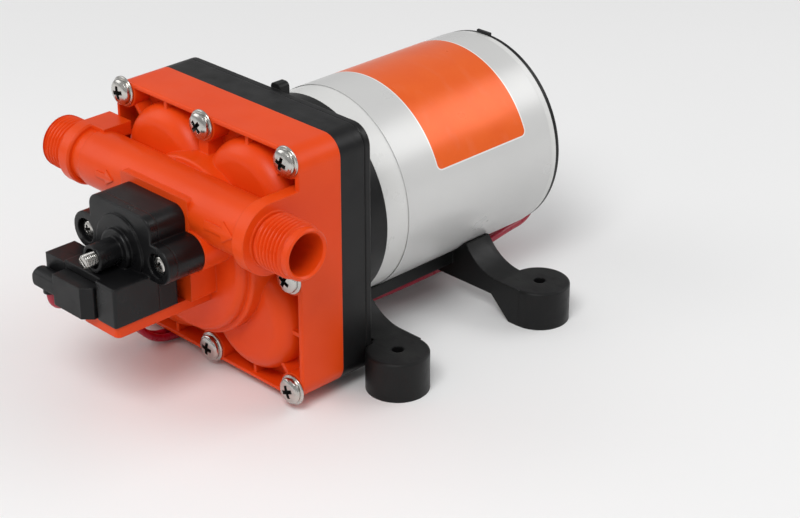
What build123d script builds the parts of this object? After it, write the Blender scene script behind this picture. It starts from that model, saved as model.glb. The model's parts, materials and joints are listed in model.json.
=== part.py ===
from build123d import *
import math
import os

# Caravan water pump, in millimetres. The origin is the centre of the four feet holes, on the floor.
# X runs along the ports from inlet to outlet, Y runs back from the head along the motor, Z is up.

# Fits shared by many pieces
overrun = 1.0  # how far a cutter passes the face that it opens
gap = 0.3  # between faces of different pieces that don't touch
bore_fit = 0.1  # radial room of a pin, rod or screw in its hole

# Feet and base
foot_span_x = 123.0
foot_span_y = 79.3
foot_radius = 12.2
foot_height = 16.0
foot_hole_radius = 2.4
foot_edge = 1.0
leg_width = 13.3
leg_underside = 9.1
leg_sweep_share = 0.86  # of the foot's radius
leg_sweep_radius = 21.0
leg_heel = 5.1  # how far inside the foot's centre the leg reaches the floor
leg_heel_run = 9.6  # how far along X its underside slopes down to the floor
leg_crest_x = 33.0
saddle_thickness = 2.2
saddle_half_width = 25.5
rail_width = 4.5
rail_underside = 15.3
base_screw_y = 18.0
base_screw_head_radius = 3.6
base_screw_head_height = 1.9
base_screw_radius = 1.9

# Motor
axis_height = 54.0  # of the motor and of the head, above the floor
can_radius = 41.5
can_wall = 1.6
can_length = 95.5
label_thickness = 0.2
label_gap = 0.15  # between the can and its wrap
label_front_margin = 11.2
label_rear_margin = 3.0
label_seam = 1.2
shaft_radius = 4.0

# Head, along Y from its front lip back to the can
head_setback = 78.0  # from the middle of the feet to the front lip
housing_depth = 20.1
diaphragm_housing_depth = 11.9
drive_flange_depth = 3.0
collar_length = 17.8
housing_width = 102.7
housing_height = 100.5
housing_corner = 8.0
housing_edge = 0.8

# Front housing
lip_wall = 1.8
skirt_wall = 3.0
web_thickness = 2.5
screw_pitch = 45.8
boss_radius = 6.5
screw_rounding_share = 0.7  # of a head's height
housing_screw_radius = 2.4
dome_pitch = 45.8
dome_radius = 22.7
dome_rise = 3.0  # in front of the lip
dome_rounding = 7.5
dome_wall = 2.5
rib_width = 1.6
rib_setback = 1.2
boss_rib_length = 4.0
valley_rib_width = 5.2
disc_radius = 32.4
disc_rise = 12.3  # in front of the lip
disc_rounding = 3.0
disc_step = 2.2
disc_step_depth = 4.2
outlet_chamber_radius = 24.0
chamber_wall = 2.5
gallery_width = 5.0
gallery_setback = 2.0

# Ports
port_height = 76.1
port_rise = 12.6  # axis in front of the lip
thread_radius = 10.4775
inlet_bore_radius = 7.6
outlet_bore_radius = 7.9
port_mouth_chamfer = 0.8
tube_radius = 11.3
tube_inlet_reach = 45.4
inlet_reach = 69.5
outlet_thread_reach = 66.3
outlet_reach = 69.5
nose_radius = 9.6
nose_chamfer = 0.7
outlet_pad_radius = 13.7
outlet_pad_width = 5.8
inlet_bore_depth = 43.5
outlet_bore_start = 5.0
inlet_drop_x = 33.0
inlet_drop_radius = 6.0
switch_port_radius = 2.0

# Housing screws and washers
screw_head_radius = 5.2
screw_head_height = 2.6
washer_radius = 5.9
washer_thickness = 0.9
housing_screw_length = 31.0

# Valve plate, seal and valves
valve_plate_thickness = 8.5
seal_thickness = 0.5
seal_margin = 0.2
recess_radius = 17.5
recess_depth = 7.0
inlet_valve_offset = 36.0  # from the motor axis, on the diagonal
inlet_valve_radius = 5.4
inlet_valve_thickness = 0.7
inlet_hole_radius = 1.4
inlet_hole_offset = 3.4
inlet_hole_count = 4
valve_stem_radius = 1.1
valve_bulb_radius = 1.7
valve_bulb_length = 1.6
outlet_hole_offset = 20.0
outlet_hole_radius = 2.0
outlet_valve_radius = 23.3
outlet_valve_thickness = 1.2
outlet_stem_radius = 2.0
outlet_stem_length = 5.0

# Diaphragm
diaphragm_thickness = 1.5
roll_radius = 14.5
roll_height = 3.2
roll_wall = 1.2
diaphragm_hole_radius = 4.2

# Wobble drive
wobble_tilt = 2.2  # degrees between the journal and the shaft
piston_radius = 10.0
piston_thickness = 1.6
piston_play = 1.95  # rest distance from the diaphragm, so that the stroke clears it
pad_radius = 9.5
pad_height = 3.0
stem_radius = 3.2
piston_screw_radius = 1.5
piston_screw_head_radius = 2.8
piston_screw_head_height = 1.1
piston_screw_length = 9.0
spider_thickness = 5.0
spider_hub_radius = 21.0
arm_width = 13.0
hub_radius = 17.6
hub_setback = 15.0  # length of the hub behind the spider
wobble_bearing_bore = 6.0
wobble_bearing_radius = 14.0
wobble_bearing_width = 8.0
bearing_ring_wall = 2.4
journal_shoulder_radius = 8.4
journal_shoulder_width = 1.8

# Diaphragm housing and drive housing
opening_radius = 18.3
shelf_thickness = 3.0
collar_radius = 41.5
collar_wall = 3.0
drive_wall = 3.0
register_depth = 3.0
front_bearing_radius = 11.0
front_bearing_width = 7.0
bearing_boss_wall = 3.0
bearing_boss_rise = 1.3
lug_width = 5.4
lug_length = 4.5
lug_rise = 1.9
lug_offset = 3.2
gusset_thickness = 3.0
gusset_height = 9.0

# Motor inside
magnet_thickness = 6.2
magnet_length = 54.0
magnet_arc = 126.0
magnet_setback = 17.0  # behind the front of the can
core_radius = 32.7
core_length = 40.0
core_setback = 23.0
slot_count = 10
slot_width = 4.2
slot_depth = 9.0
slot_mouth = 2.0
slot_mouth_depth = 1.6
winding_radius = 27.0
winding_height = 9.5
commutator_radius = 11.0
commutator_length = 9.6
commutator_bars = 10
commutator_slit = 0.5
commutator_slit_depth = 1.0
commutator_gap = 0.6  # behind the rear winding
brush_width = 5.0
brush_depth = 8.0
brush_length = 13.5
holder_wall = 1.3
holder_start = 13.5
holder_end = 36.5
card_thickness = 2.0
card_bore = 14.0
spring_wire = 0.8
wire_sides = 6
brush_spring_radius = 1.9
brush_spring_turns = 5
bolt_circle = 36.6
bolt_radius = 1.9
bolt_head_radius = 3.4
bolt_head_height = 2.4
end_cap_thickness = 2.5
rear_boss_radius = 12.0
rear_boss_rise = 4.0
rear_bush_radius = 7.0
rear_bush_length = 8.0
cap_tab_width = 7.0
cap_tab_rise = 1.2

# Leads
lead_arc_share = 0.45  # of the shorter run
lead_radius = 1.5
lead_spacing = 4.0
grommet_x = 12.0
grommet_z = 32.0
grommet_radius = 5.6
grommet_plug_radius = 4.6
grommet_flange = 2.2

# Pressure switch
switch_height = 64.1
switch_reach = 24.0  # rear face in front of the lip
switch_body_depth = 12.0
switch_cap_depth = 4.0
switch_half_width = 17.5
switch_top = 80.7
switch_corner = 5.0
ear_offset = 20.5
ear_radius = 7.2
ear_recess_radius = 4.6
ear_recess_depth = 2.5
switch_screw_radius = 1.5
switch_screw_head_radius = 3.3
switch_screw_head_height = 1.8
switch_screw_length = 19.0
face_disc_radius = 13.0
face_disc_rise = 0.9
neck_base_radius = 8.0
neck_base_rise = 3.0
neck_radius = 5.2
neck_reach = 12.7
neck_mouth_radius = 3.9
neck_mouth_depth = 3.6
adjusting_screw_radius = 2.6
adjusting_screw_reach = 4.0
adjusting_screw_length = 12.4
seat_radius = 4.0
seat_thickness = 1.5
adjusting_travel = 1.4
pressure_spring_radius = 2.9
pressure_spring_turns = 6
plunger_radius = 8.0
plunger_thickness = 1.6
plunger_travel = 1.2
plunger_arm_width = 7.0
plunger_arm_drop = 14.5
plunger_arm_thickness = 1.6
switch_diaphragm_radius = 11.0
switch_diaphragm_thickness = 1.2
spring_chamber_radius = 4.6
box_top = 58.5
box_bottom = 43.2
box_left = 15.5
box_right = 16.0
box_front_reach = 16.0  # in front of the cap's front face
box_front_split = 5.0
arm_setback = 2.4
box_wall = 2.2
box_rear_reach = 4.0
box_edge = 1.0
boot_length = 12.4
boot_bottom = 49.0
boot_top = 57.6
boot_depth = 13.0
front_boot_reach = 4.2
front_boot_length = 20.2
front_boot_chamfer_share = 0.8  # of its reach
front_boot_top = 55.6
boot_nub_length = 12.0
boot_nub_radius = 4.0
boot_edge = 1.2
boot_fit = 0.2
sleeve_radius = 2.5
sleeve_drop = 1.5
terminal_thickness = 0.8
terminal_width = 5.6
microswitch_half_width = 9.5
microswitch_depth = 10.5
microswitch_height = 6.4
microswitch_floor = 5.0
button_width = 3.0
button_height = 2.6
button_rise = 1.5
button_play = 0.3
pedestal_top = 83.6
pedestal_half_width = 19.0
pedestal_ear_radius = 7.6
pedestal_corner = 1.2
support_left = 5.0
support_right = 15.5
support_thickness = 4.2
support_setback = 1.0

# Places along Y worked out from the sizes
lip = -head_setback
seam = lip + housing_depth
drive_front = seam + diaphragm_housing_depth
collar_front = drive_front + drive_flange_depth
can_front = collar_front + collar_length
can_rear = can_front + can_length
plate_rear = seam - diaphragm_thickness
plate_front = plate_rear - valve_plate_thickness
web_front = plate_front - web_thickness
port_y = lip - port_rise
disc_front = lip - disc_rise
switch_rear = lip - switch_reach
switch_seam = switch_rear - switch_body_depth
switch_front = switch_seam - switch_cap_depth
neck_front = switch_front - neck_reach
box_front = switch_front - box_front_reach
tilt_centre = seam - diaphragm_thickness / 2
half_width = housing_width / 2
inner_can_radius = can_radius - can_wall

SCREW_PLACES = [
    (column * screw_pitch, axis_height + row * screw_pitch)
    for row in (1, 0, -1)
    for column in (-1, 0, 1)
    if (column, row) != (0, 0)
]
DOME_PLACES = [
    (column * dome_pitch / 2, axis_height + row * dome_pitch / 2) for row in (1, -1) for column in (-1, 1)
]
DIAGONALS = [45, 135, 225, 315]


# Shapes used by many pieces


def facing_front(y):
    """Plane at y, with sketch X along X, sketch Y along Z, looking forward."""
    return Plane(origin=(0, y, 0), x_dir=(1, 0, 0), z_dir=(0, -1, 0))


def slab(sketch, front, back):
    """A front view sketch drawn out between two places along Y."""
    return extrude(facing_front(back) * sketch, amount=back - front)


def disc(radius, front, back, x=0.0, z=axis_height):
    return slab(Pos(x, z) * Circle(radius), front, back)


def ring(outer, inner, front, back, x=0.0, z=axis_height):
    return slab(Pos(x, z) * (Circle(outer) - Circle(inner)), front, back)


def rod_x(radius, start, end, y, z):
    plane = Plane(origin=(start, y, z), x_dir=(0, 1, 0), z_dir=(1, 0, 0))
    return extrude(plane * Circle(radius), amount=end - start)


def rod_z(radius, bottom, top, x, y):
    return extrude(Plane(origin=(x, y, bottom)) * Circle(radius), amount=top - bottom)


def block(left, right, front, back, bottom, top):
    centre = Pos((left + right) / 2, (front + back) / 2, (bottom + top) / 2)
    return centre * Box(right - left, back - front, top - bottom)


def front_rounded(body, rounding):
    """Rounds the front rim of a round body."""
    return fillet(body.edges().group_by(Axis.Y)[0], rounding)


def on_diagonals(offset):
    """The places at one distance from the motor axis on its four diagonals."""
    return [
        (offset * math.cos(math.radians(angle)), axis_height + offset * math.sin(math.radians(angle)))
        for angle in DIAGONALS
    ]


def outline(inset=0.0):
    """The rounded square outline of the head, drawn in by an inset."""
    rounding = housing_corner - inset
    shape = RectangleRounded(housing_width - 2 * inset, housing_height - 2 * inset, rounding)
    return Pos(0, axis_height) * shape


def bosses(radius, front, back):
    return [disc(radius, front, back, x, z) for x, z in SCREW_PLACES]


def screw(place, under_head, length, radius, head_radius, head_height):
    """A pan head screw with its shank towards +Y."""
    x, z = place
    head = disc(head_radius, under_head - head_height, under_head, x, z)
    head = front_rounded(head, screw_rounding_share * head_height)
    return head + disc(radius, under_head, under_head + length, x, z)


def tilted(body):
    """Leans a body from the shaft axis onto the axis of the inclined journal."""
    centre = Pos(0, tilt_centre, axis_height)
    return centre * Rot(wobble_tilt, 0, 0) * centre.inverse() * body


# Front housing with its ports, domes and switch pedestal


def outlet_pad():
    """The flat sided collar that carries the outlet port on the side wall."""
    left = half_width - outlet_pad_width
    nose = rod_x(outlet_pad_radius, left, half_width, port_y, port_height)
    low = port_height - outlet_pad_radius
    high = port_height + outlet_pad_radius
    return nose + block(left, half_width, port_y, web_front, low, high)


def dome_ribs():
    """Short ribs that tie each dome to the frame wall beside it."""
    top = axis_height + housing_height / 2 - lip_wall
    bottom = axis_height - housing_height / 2 + lip_wall
    side = half_width - lip_wall
    front = lip + rib_setback
    ribs = []
    for x, z in DOME_PLACES:
        wall_z = top if z > axis_height else bottom
        low, high = sorted((z, wall_z + math.copysign(lip_wall / 2, z - axis_height)))
        ribs.append(block(x - rib_width / 2, x + rib_width / 2, front, web_front, low, high))
        left, right = sorted((x, math.copysign(side + lip_wall / 2, x)))
        ribs.append(block(left, right, front, web_front, z - rib_width / 2, z + rib_width / 2))
    corner = screw_pitch * math.sqrt(2) - boss_radius - boss_rib_length / 2
    for angle, (x, z) in zip(DIAGONALS, on_diagonals(corner)):
        bar = Pos(x, z) * Rot(0, 0, angle) * Rectangle(2 * boss_rib_length, rib_width)
        ribs.append(slab(bar, front, web_front))
    return ribs


def pedestal():
    """The raised seat of the pressure switch, with the shelf under its terminal box."""
    shelf_top = box_bottom - gap
    height = pedestal_top - shelf_top
    middle = (pedestal_top + shelf_top) / 2
    seat = Pos(0, middle) * RectangleRounded(2 * pedestal_half_width, height, pedestal_corner)
    ears = Pos(0, switch_height) * SlotCenterToCenter(2 * ear_offset, 2 * pedestal_ear_radius)
    body = slab(seat, switch_rear, disc_front + disc_rounding)
    body += slab(ears, switch_rear, disc_front)
    shelf_front = box_front + support_setback
    shelf = block(
        -support_left, support_right, shelf_front, disc_front, shelf_top - support_thickness, shelf_top
    )
    shelf = fillet(shelf.edges().filter_by(Axis.Z).group_by(Axis.Y)[0], support_thickness / 2)
    return body + shelf


def front_housing():
    frame = slab(outline(), lip, seam)
    frame = fillet(frame.faces().sort_by(Axis.Y)[0].edges(), housing_edge)
    frame -= slab(outline(lip_wall), lip - overrun, web_front)
    limit = slab(outline(), lip - disc_rise - dome_rise, seam)
    for boss in bosses(boss_radius, lip, web_front):
        frame += boss & limit
    for x, z in DOME_PLACES:
        frame += front_rounded(disc(dome_radius, lip - dome_rise, plate_front, x, z), dome_rounding)
    frame += dome_ribs()
    step_front = disc_front + disc_step_depth
    frame += front_rounded(disc(disc_radius + disc_step, step_front, plate_front), disc_step / 2)
    frame += front_rounded(disc(disc_radius, disc_front, plate_front), disc_rounding)
    valley_top = axis_height + screw_pitch
    frame += block(
        -valley_rib_width / 2, valley_rib_width / 2, lip, web_front, port_height, valley_top - boss_radius / 2
    )
    frame += rod_x(tube_radius, -tube_inlet_reach, half_width, port_y, port_height)
    frame += outlet_pad()
    frame += pedestal()

    # Port stubs
    inlet = rod_x(thread_radius, -inlet_reach, -tube_inlet_reach, port_y, port_height)
    frame += chamfer(inlet.edges().group_by(Axis.X)[0], nose_chamfer)
    frame += rod_x(thread_radius, half_width, outlet_thread_reach, port_y, port_height)
    nose = rod_x(nose_radius, half_width, outlet_reach, port_y, port_height)
    frame += chamfer(nose.edges().group_by(Axis.X)[-1], nose_chamfer)

    # Room behind the web for the valve plate and the diaphragm, between the screw bosses
    recess = slab(outline(skirt_wall), plate_front, seam + overrun)
    for boss in bosses(boss_radius, plate_front, seam + overrun):
        recess -= boss
    frame -= recess

    # Suction chambers inside the domes, joined by a gallery, round the outlet chamber
    suction = [
        disc(dome_radius - dome_wall, lip - dome_rise + dome_wall, plate_front, x, z) for x, z in DOME_PLACES
    ]
    suction = [front_rounded(cavity, dome_rounding - dome_wall) for cavity in suction]
    wall_radius = outlet_chamber_radius + chamber_wall
    suction.append(disc(wall_radius + gallery_width, lip + gallery_setback, plate_front))
    wall = disc(wall_radius, disc_front, plate_front)
    frame -= [cavity - wall for cavity in suction]
    frame -= disc(outlet_chamber_radius, disc_front + chamber_wall, plate_front)
    seal_outer = wall_radius - seal_margin
    frame -= ring(
        seal_outer + seal_margin,
        outlet_chamber_radius - seal_margin,
        plate_front - seal_thickness,
        plate_front,
    )

    # Waterways
    frame -= rod_x(
        inlet_bore_radius, -inlet_reach - overrun, inlet_bore_depth - inlet_reach, port_y, port_height
    )
    frame -= disc(inlet_drop_radius, port_y, lip + gallery_setback, -inlet_drop_x, port_height)
    frame -= rod_x(outlet_bore_radius, outlet_bore_start, outlet_reach + overrun, port_y, port_height)
    for end, side, radius in ((-inlet_reach, -1, inlet_bore_radius), (outlet_reach, 1, outlet_bore_radius)):
        plane = Plane(origin=(end, port_y, port_height), x_dir=(0, 1, 0), z_dir=(-side, 0, 0))
        mouth = Cone(radius + port_mouth_chamfer, radius, port_mouth_chamfer)
        frame -= plane * Pos(0, 0, port_mouth_chamfer / 2) * mouth
    frame -= disc(
        switch_port_radius, switch_rear - overrun, disc_front + chamber_wall + overrun, 0, switch_height
    )

    # Screw holes
    hole_radius = housing_screw_radius + bore_fit
    frame -= bosses(hole_radius, lip - overrun, seam + overrun)
    for x in (-ear_offset, ear_offset):
        depth = switch_screw_length - switch_body_depth - switch_cap_depth + ear_recess_depth
        frame -= disc(
            switch_screw_radius + bore_fit, switch_rear - overrun, switch_rear + depth + gap, x, switch_height
        )
    return frame


# Screws that hold the head together


def housing_screws():
    head_rear = lip - washer_thickness
    length = housing_screw_length
    return [
        screw(place, head_rear, length, housing_screw_radius, screw_head_radius, screw_head_height)
        for place in SCREW_PLACES
    ]


def screw_washers():
    hole = housing_screw_radius + bore_fit
    return [ring(washer_radius, hole, lip - washer_thickness, lip, x, z) for x, z in SCREW_PLACES]


# Valve plate and valves


def inner_outline():
    """Outline of what lies inside the skirt of the front housing, clear of the screw bosses."""
    shape = outline(skirt_wall + gap)
    for x, z in SCREW_PLACES:
        shape -= Pos(x, z) * Circle(boss_radius + gap)
    return shape


def valve_plate():
    plate = slab(inner_outline(), plate_front, plate_rear)
    floor = plate_rear - recess_depth
    for x, z in DOME_PLACES:
        plate -= disc(recess_radius, floor, plate_rear + overrun, x, z)
    for x, z in on_diagonals(inlet_valve_offset):
        plate -= disc(valve_stem_radius + bore_fit, plate_front - overrun, floor + overrun, x, z)
        for turn in range(inlet_hole_count):
            angle = math.radians(360 * turn / inlet_hole_count)
            hole_x = x + inlet_hole_offset * math.cos(angle)
            hole_z = z + inlet_hole_offset * math.sin(angle)
            plate -= disc(inlet_hole_radius, plate_front - overrun, floor + overrun, hole_x, hole_z)
    for x, z in on_diagonals(outlet_hole_offset):
        plate -= disc(outlet_hole_radius, plate_front - overrun, floor + overrun, x, z)
    stem_rear = plate_front + outlet_stem_length + gap
    plate -= disc(outlet_stem_radius + bore_fit, plate_front - overrun, stem_rear)
    return plate


def chamber_seal():
    outer = outlet_chamber_radius + chamber_wall - seal_margin
    return ring(outer, outlet_chamber_radius, plate_front - seal_thickness, plate_front)


def inlet_valves():
    """Four umbrella valves under the recess floors, each held by a stem with a bulb."""
    floor = plate_rear - recess_depth
    bulb_rear = plate_front - bore_fit
    valves = []
    for x, z in on_diagonals(inlet_valve_offset):
        umbrella = disc(inlet_valve_radius, floor, floor + inlet_valve_thickness, x, z)
        stem = disc(valve_stem_radius, bulb_rear - valve_bulb_length, floor, x, z)
        bulb = front_rounded(
            disc(valve_bulb_radius, bulb_rear - valve_bulb_length, bulb_rear, x, z), valve_stem_radius
        )
        valves.append(umbrella + stem + bulb)
    return valves


def outlet_valve():
    flap = disc(outlet_valve_radius, plate_front - outlet_valve_thickness, plate_front)
    return flap + disc(outlet_stem_radius, plate_front, plate_front + outlet_stem_length)


def diaphragm():
    """One rubber sheet with a rolled ring and a screw hole at each of the four pistons."""
    sheet = slab(inner_outline(), plate_rear, seam)
    arc_centre = (roll_radius, plate_rear)
    section = Pos(*arc_centre) * (Circle(roll_height) - Circle(roll_height - roll_wall))
    section &= Pos(roll_radius, plate_rear + roll_height) * Rectangle(3 * roll_height, 2 * roll_height)
    roll = revolve(section, axis=Axis.Y)
    for x, z in DOME_PLACES:
        edge = roll_height - roll_wall * 2 / 3
        sheet -= ring(roll_radius + edge, roll_radius - edge, plate_rear, seam, x, z)
        sheet += Pos(x, 0, z) * roll
        sheet -= disc(diaphragm_hole_radius, plate_rear - overrun, seam + overrun, x, z)
    return sheet


def diaphragm_housing():
    body = slab(outline(), seam, drive_front)
    body = chamfer(body.faces().sort_by(Axis.Y)[-1].edges(), housing_edge / 2)
    body -= slab(outline(skirt_wall), seam + shelf_thickness, drive_front + overrun)
    limit = slab(outline(housing_edge / 2), seam, drive_front)
    for boss in bosses(boss_radius, seam, drive_front):
        body += boss & limit
    for x, z in DOME_PLACES:
        body -= disc(opening_radius, seam - overrun, seam + shelf_thickness + overrun, x, z)
    body -= bosses(housing_screw_radius + bore_fit, seam - overrun, drive_front + overrun)
    return body


# Wobble drive


def pistons():
    rear = plate_rear - piston_play
    discs = []
    for x, z in DOME_PLACES:
        cap = front_rounded(disc(piston_radius, rear - piston_thickness, rear, x, z), piston_thickness / 2)
        stem = disc(stem_radius, rear, seam + piston_play, x, z)
        hole = disc(
            piston_screw_radius + bore_fit,
            rear - piston_thickness - overrun,
            seam + piston_play + overrun,
            x,
            z,
        )
        discs.append(tilted(cap + stem - hole))
    return discs


def piston_screws():
    under_head = plate_rear - piston_play - piston_thickness
    return [
        tilted(
            screw(
                place,
                under_head,
                piston_screw_length,
                piston_screw_radius,
                piston_screw_head_radius,
                piston_screw_head_height,
            )
        )
        for place in DOME_PLACES
    ]


def wobble_plate():
    pad_front = seam + piston_play
    spider_front = pad_front + pad_height
    spider_rear = spider_front + spider_thickness
    hub_rear = spider_rear + hub_setback
    body = disc(spider_hub_radius, spider_front, spider_rear)
    for angle, (x, z) in zip(DIAGONALS, on_diagonals(dome_pitch / math.sqrt(2))):
        reach = dome_pitch / math.sqrt(2)
        bar = Pos(0, axis_height) * Rot(0, 0, angle) * Pos(reach / 2, 0) * Rectangle(reach, arm_width)
        body += slab(bar, spider_front, spider_rear)
        body += disc(pad_radius, pad_front, spider_rear, x, z)
    body += disc(hub_radius, spider_front, hub_rear)
    bearing_front = hub_rear - wobble_bearing_width - gap
    body -= disc(wobble_bearing_radius, bearing_front, hub_rear + overrun)
    body -= disc(wobble_bearing_radius - bearing_ring_wall, spider_rear, hub_rear)
    screw_rear = plate_rear - piston_play - piston_thickness + piston_screw_length
    for x, z in DOME_PLACES:
        body -= disc(piston_screw_radius + bore_fit, pad_front - overrun, screw_rear + gap, x, z)
    return tilted(body)


def bearing_rings(bore, radius, width, front):
    """Inner ring and shielded outer ring of a ball bearing whose balls are sealed in."""
    inner_edge = bore + bearing_ring_wall
    inner = ring(inner_edge, bore, front, front + width)
    outer = ring(radius, inner_edge + gap, front, front + width)
    return inner, outer


wobble_hub_rear = seam + piston_play + pad_height + spider_thickness + hub_setback
wobble_bearing_front = wobble_hub_rear - wobble_bearing_width - gap
shoulder_front = wobble_hub_rear + gap
front_bearing_front = can_front - drive_wall - bearing_boss_rise
commutator_front = (
    can_front + core_setback + core_length + winding_height + commutator_gap
)
brush_y = commutator_front + commutator_length / 2
cap_rear = can_rear + end_cap_thickness
bush_rear = cap_rear + rear_boss_rise - gap


def eccentric_bush():
    """Sleeve on the shaft whose journal leans by the wobble angle."""
    journal = tilted(disc(wobble_bearing_bore, wobble_bearing_front, shoulder_front + gap))
    shoulder = disc(journal_shoulder_radius, shoulder_front, shoulder_front + journal_shoulder_width)
    return journal + shoulder - disc(shaft_radius, wobble_bearing_front - overrun, front_bearing_front)


def drive_housing():
    flange = slab(outline(), drive_front, collar_front)
    flange = fillet(flange.faces().sort_by(Axis.Y)[-1].edges(), housing_edge)
    flange = chamfer(flange.faces().sort_by(Axis.Y)[0].edges(), housing_edge / 2)
    collar = disc(collar_radius, collar_front, can_front)
    register = disc(inner_can_radius - gap / 2, can_front, can_front + register_depth)
    body = flange + collar + register
    cavity_rear = can_front - drive_wall
    body -= disc(collar_radius - collar_wall, drive_front - overrun, cavity_rear)
    body -= disc(inner_can_radius - collar_wall, can_front, can_front + register_depth + overrun)
    boss_radius_here = front_bearing_radius + bearing_boss_wall
    bearing_rear = front_bearing_front + front_bearing_width
    body += disc(boss_radius_here, front_bearing_front, bearing_rear)
    body -= disc(front_bearing_radius, front_bearing_front - overrun, bearing_rear + overrun)
    body -= bosses(housing_screw_radius + bore_fit, drive_front - overrun, collar_front + overrun)
    for z in (axis_height + bolt_circle, axis_height - bolt_circle):
        body -= disc(
            bolt_radius + bore_fit, cavity_rear - overrun, can_front + register_depth + overrun, 0, z
        )

    # Lug on top and the gusset on each side of the collar
    top = axis_height + housing_height / 2
    lug = block(
        lug_offset - lug_width,
        lug_offset,
        collar_front,
        collar_front + lug_length,
        top - lug_width,
        top + lug_rise,
    )
    lug = fillet(lug.edges().filter_by(Axis.Y).group_by(Axis.Z)[-1], lug_rise)
    lug -= disc(collar_radius - collar_wall, collar_front, collar_front + lug_length)
    body += lug
    for side in (-1, 1):
        outer_x = side * (half_width - housing_corner)
        inner_x = side * (collar_radius - collar_wall)
        points = [(outer_x, collar_front), (inner_x, collar_front), (inner_x, collar_front + gusset_height)]
        wedge = extrude(
            Plane.XY.offset(axis_height - gusset_thickness / 2) * make_face(Polyline(*points, close=True)),
            amount=gusset_thickness,
        )
        body += wedge
    return body


# Motor


def motor_can():
    can = ring(can_radius, inner_can_radius, can_front, can_rear)
    for y in (-base_screw_y, base_screw_y):
        can -= rod_z(base_screw_radius + bore_fit, 0, axis_height, 0, y)
    return can


def motor_label():
    """A thin wrap round the can, with its seam underneath."""
    inner = can_radius + label_gap
    wrap = ring(inner + label_thickness, inner, can_front + label_front_margin, can_rear - label_rear_margin)
    wrap -= block(-label_seam / 2, label_seam / 2, can_front, can_rear, 0, axis_height)
    for y in (-base_screw_y, base_screw_y):
        wrap -= rod_z(base_screw_radius + bore_fit, 0, axis_height, 0, y)
    return wrap


def end_cap():
    cap = disc(can_radius, can_rear, cap_rear)
    cap = fillet(cap.edges().group_by(Axis.Y)[-1], end_cap_thickness / 2)
    cap += disc(inner_can_radius - gap / 2, can_rear - register_depth, can_rear)
    cap += disc(rear_boss_radius, can_rear - register_depth, cap_rear + rear_boss_rise)
    tab_z = axis_height + can_radius
    cap += block(
        -cap_tab_width / 2,
        cap_tab_width / 2,
        can_rear,
        can_rear + end_cap_thickness / 2,
        tab_z - can_wall,
        tab_z + cap_tab_rise,
    )
    cap -= disc(rear_bush_radius, can_rear - register_depth - overrun, bush_rear)
    cap -= disc(
        grommet_plug_radius, can_rear - register_depth - overrun, cap_rear + overrun, grommet_x, grommet_z
    )
    for z in (axis_height + bolt_circle, axis_height - bolt_circle):
        cap -= disc(bolt_radius + bore_fit, can_rear - register_depth - overrun, cap_rear + overrun, 0, z)
    return cap


def rear_bush():
    return ring(rear_bush_radius, shaft_radius + bore_fit, bush_rear - rear_bush_length, bush_rear)


def field_magnets():
    front = can_front + magnet_setback
    outer = inner_can_radius - bore_fit
    shell = ring(outer, outer - magnet_thickness, front, front + magnet_length)
    spread = inner_can_radius * math.tan(math.radians((180 - magnet_arc) / 2))
    corners = [
        (0, axis_height), (-spread, axis_height + inner_can_radius), (spread, axis_height + inner_can_radius)
    ]
    top_gap = slab(make_face(Polyline(*corners, close=True)), front, front + magnet_length)
    low = [
        (0, axis_height), (-spread, axis_height - inner_can_radius), (spread, axis_height - inner_can_radius)
    ]
    low_gap = slab(make_face(Polyline(*low, close=True)), front, front + magnet_length)
    return (shell - top_gap - low_gap).solids()


def slot_place(index):
    return Pos(0, axis_height) * Rot(0, 0, 360 * (2 * index + 1) / (2 * slot_count))


def armature_core():
    front = can_front + core_setback
    face = Pos(0, axis_height) * Circle(core_radius)
    for index in range(slot_count):
        depth_centre = core_radius - slot_mouth_depth - slot_depth / 2
        face -= slot_place(index) * Pos(depth_centre, 0) * RectangleRounded(
            slot_depth, slot_width, slot_width / 3
        )
        mouth_centre = core_radius - slot_mouth_depth / 2
        face -= slot_place(index) * Pos(mouth_centre, 0) * Rectangle(2 * slot_mouth_depth, slot_mouth)
    face -= Pos(0, axis_height) * Circle(shaft_radius)
    return slab(face, front, front + core_length)


def armature_windings():
    """Coil bundles in the slots, joined by the end turns."""
    front = can_front + core_setback
    rear = front + core_length
    inner = shaft_radius + slot_width
    front_turns = ring(winding_radius, inner, front - winding_height, front)
    rear_turns = ring(winding_radius, inner, rear, rear + winding_height)
    front_turns = fillet(front_turns.faces().sort_by(Axis.Y)[0].edges(), winding_height / 3)
    rear_turns = fillet(rear_turns.faces().sort_by(Axis.Y)[-1].edges(), winding_height / 3)
    coils = front_turns + rear_turns
    for index in range(slot_count):
        depth_centre = core_radius - slot_mouth_depth - slot_depth / 2
        bundle = RectangleRounded(slot_depth - bore_fit, slot_width - bore_fit, slot_width / 3)
        coils += slab(slot_place(index) * Pos(depth_centre, 0) * bundle, front, rear)
    return coils


def commutator():
    drum = ring(commutator_radius, shaft_radius, commutator_front, commutator_front + commutator_length)
    for index in range(commutator_bars):
        place = Pos(0, axis_height) * Rot(0, 0, 360 * index / commutator_bars)
        slit = Pos(commutator_radius, 0) * Rectangle(2 * commutator_slit_depth, commutator_slit)
        drum -= slab(place * slit, commutator_front, commutator_front + commutator_length)
    return drum


def motor_shaft():
    return disc(shaft_radius, wobble_bearing_front, bush_rear - gap)


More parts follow.
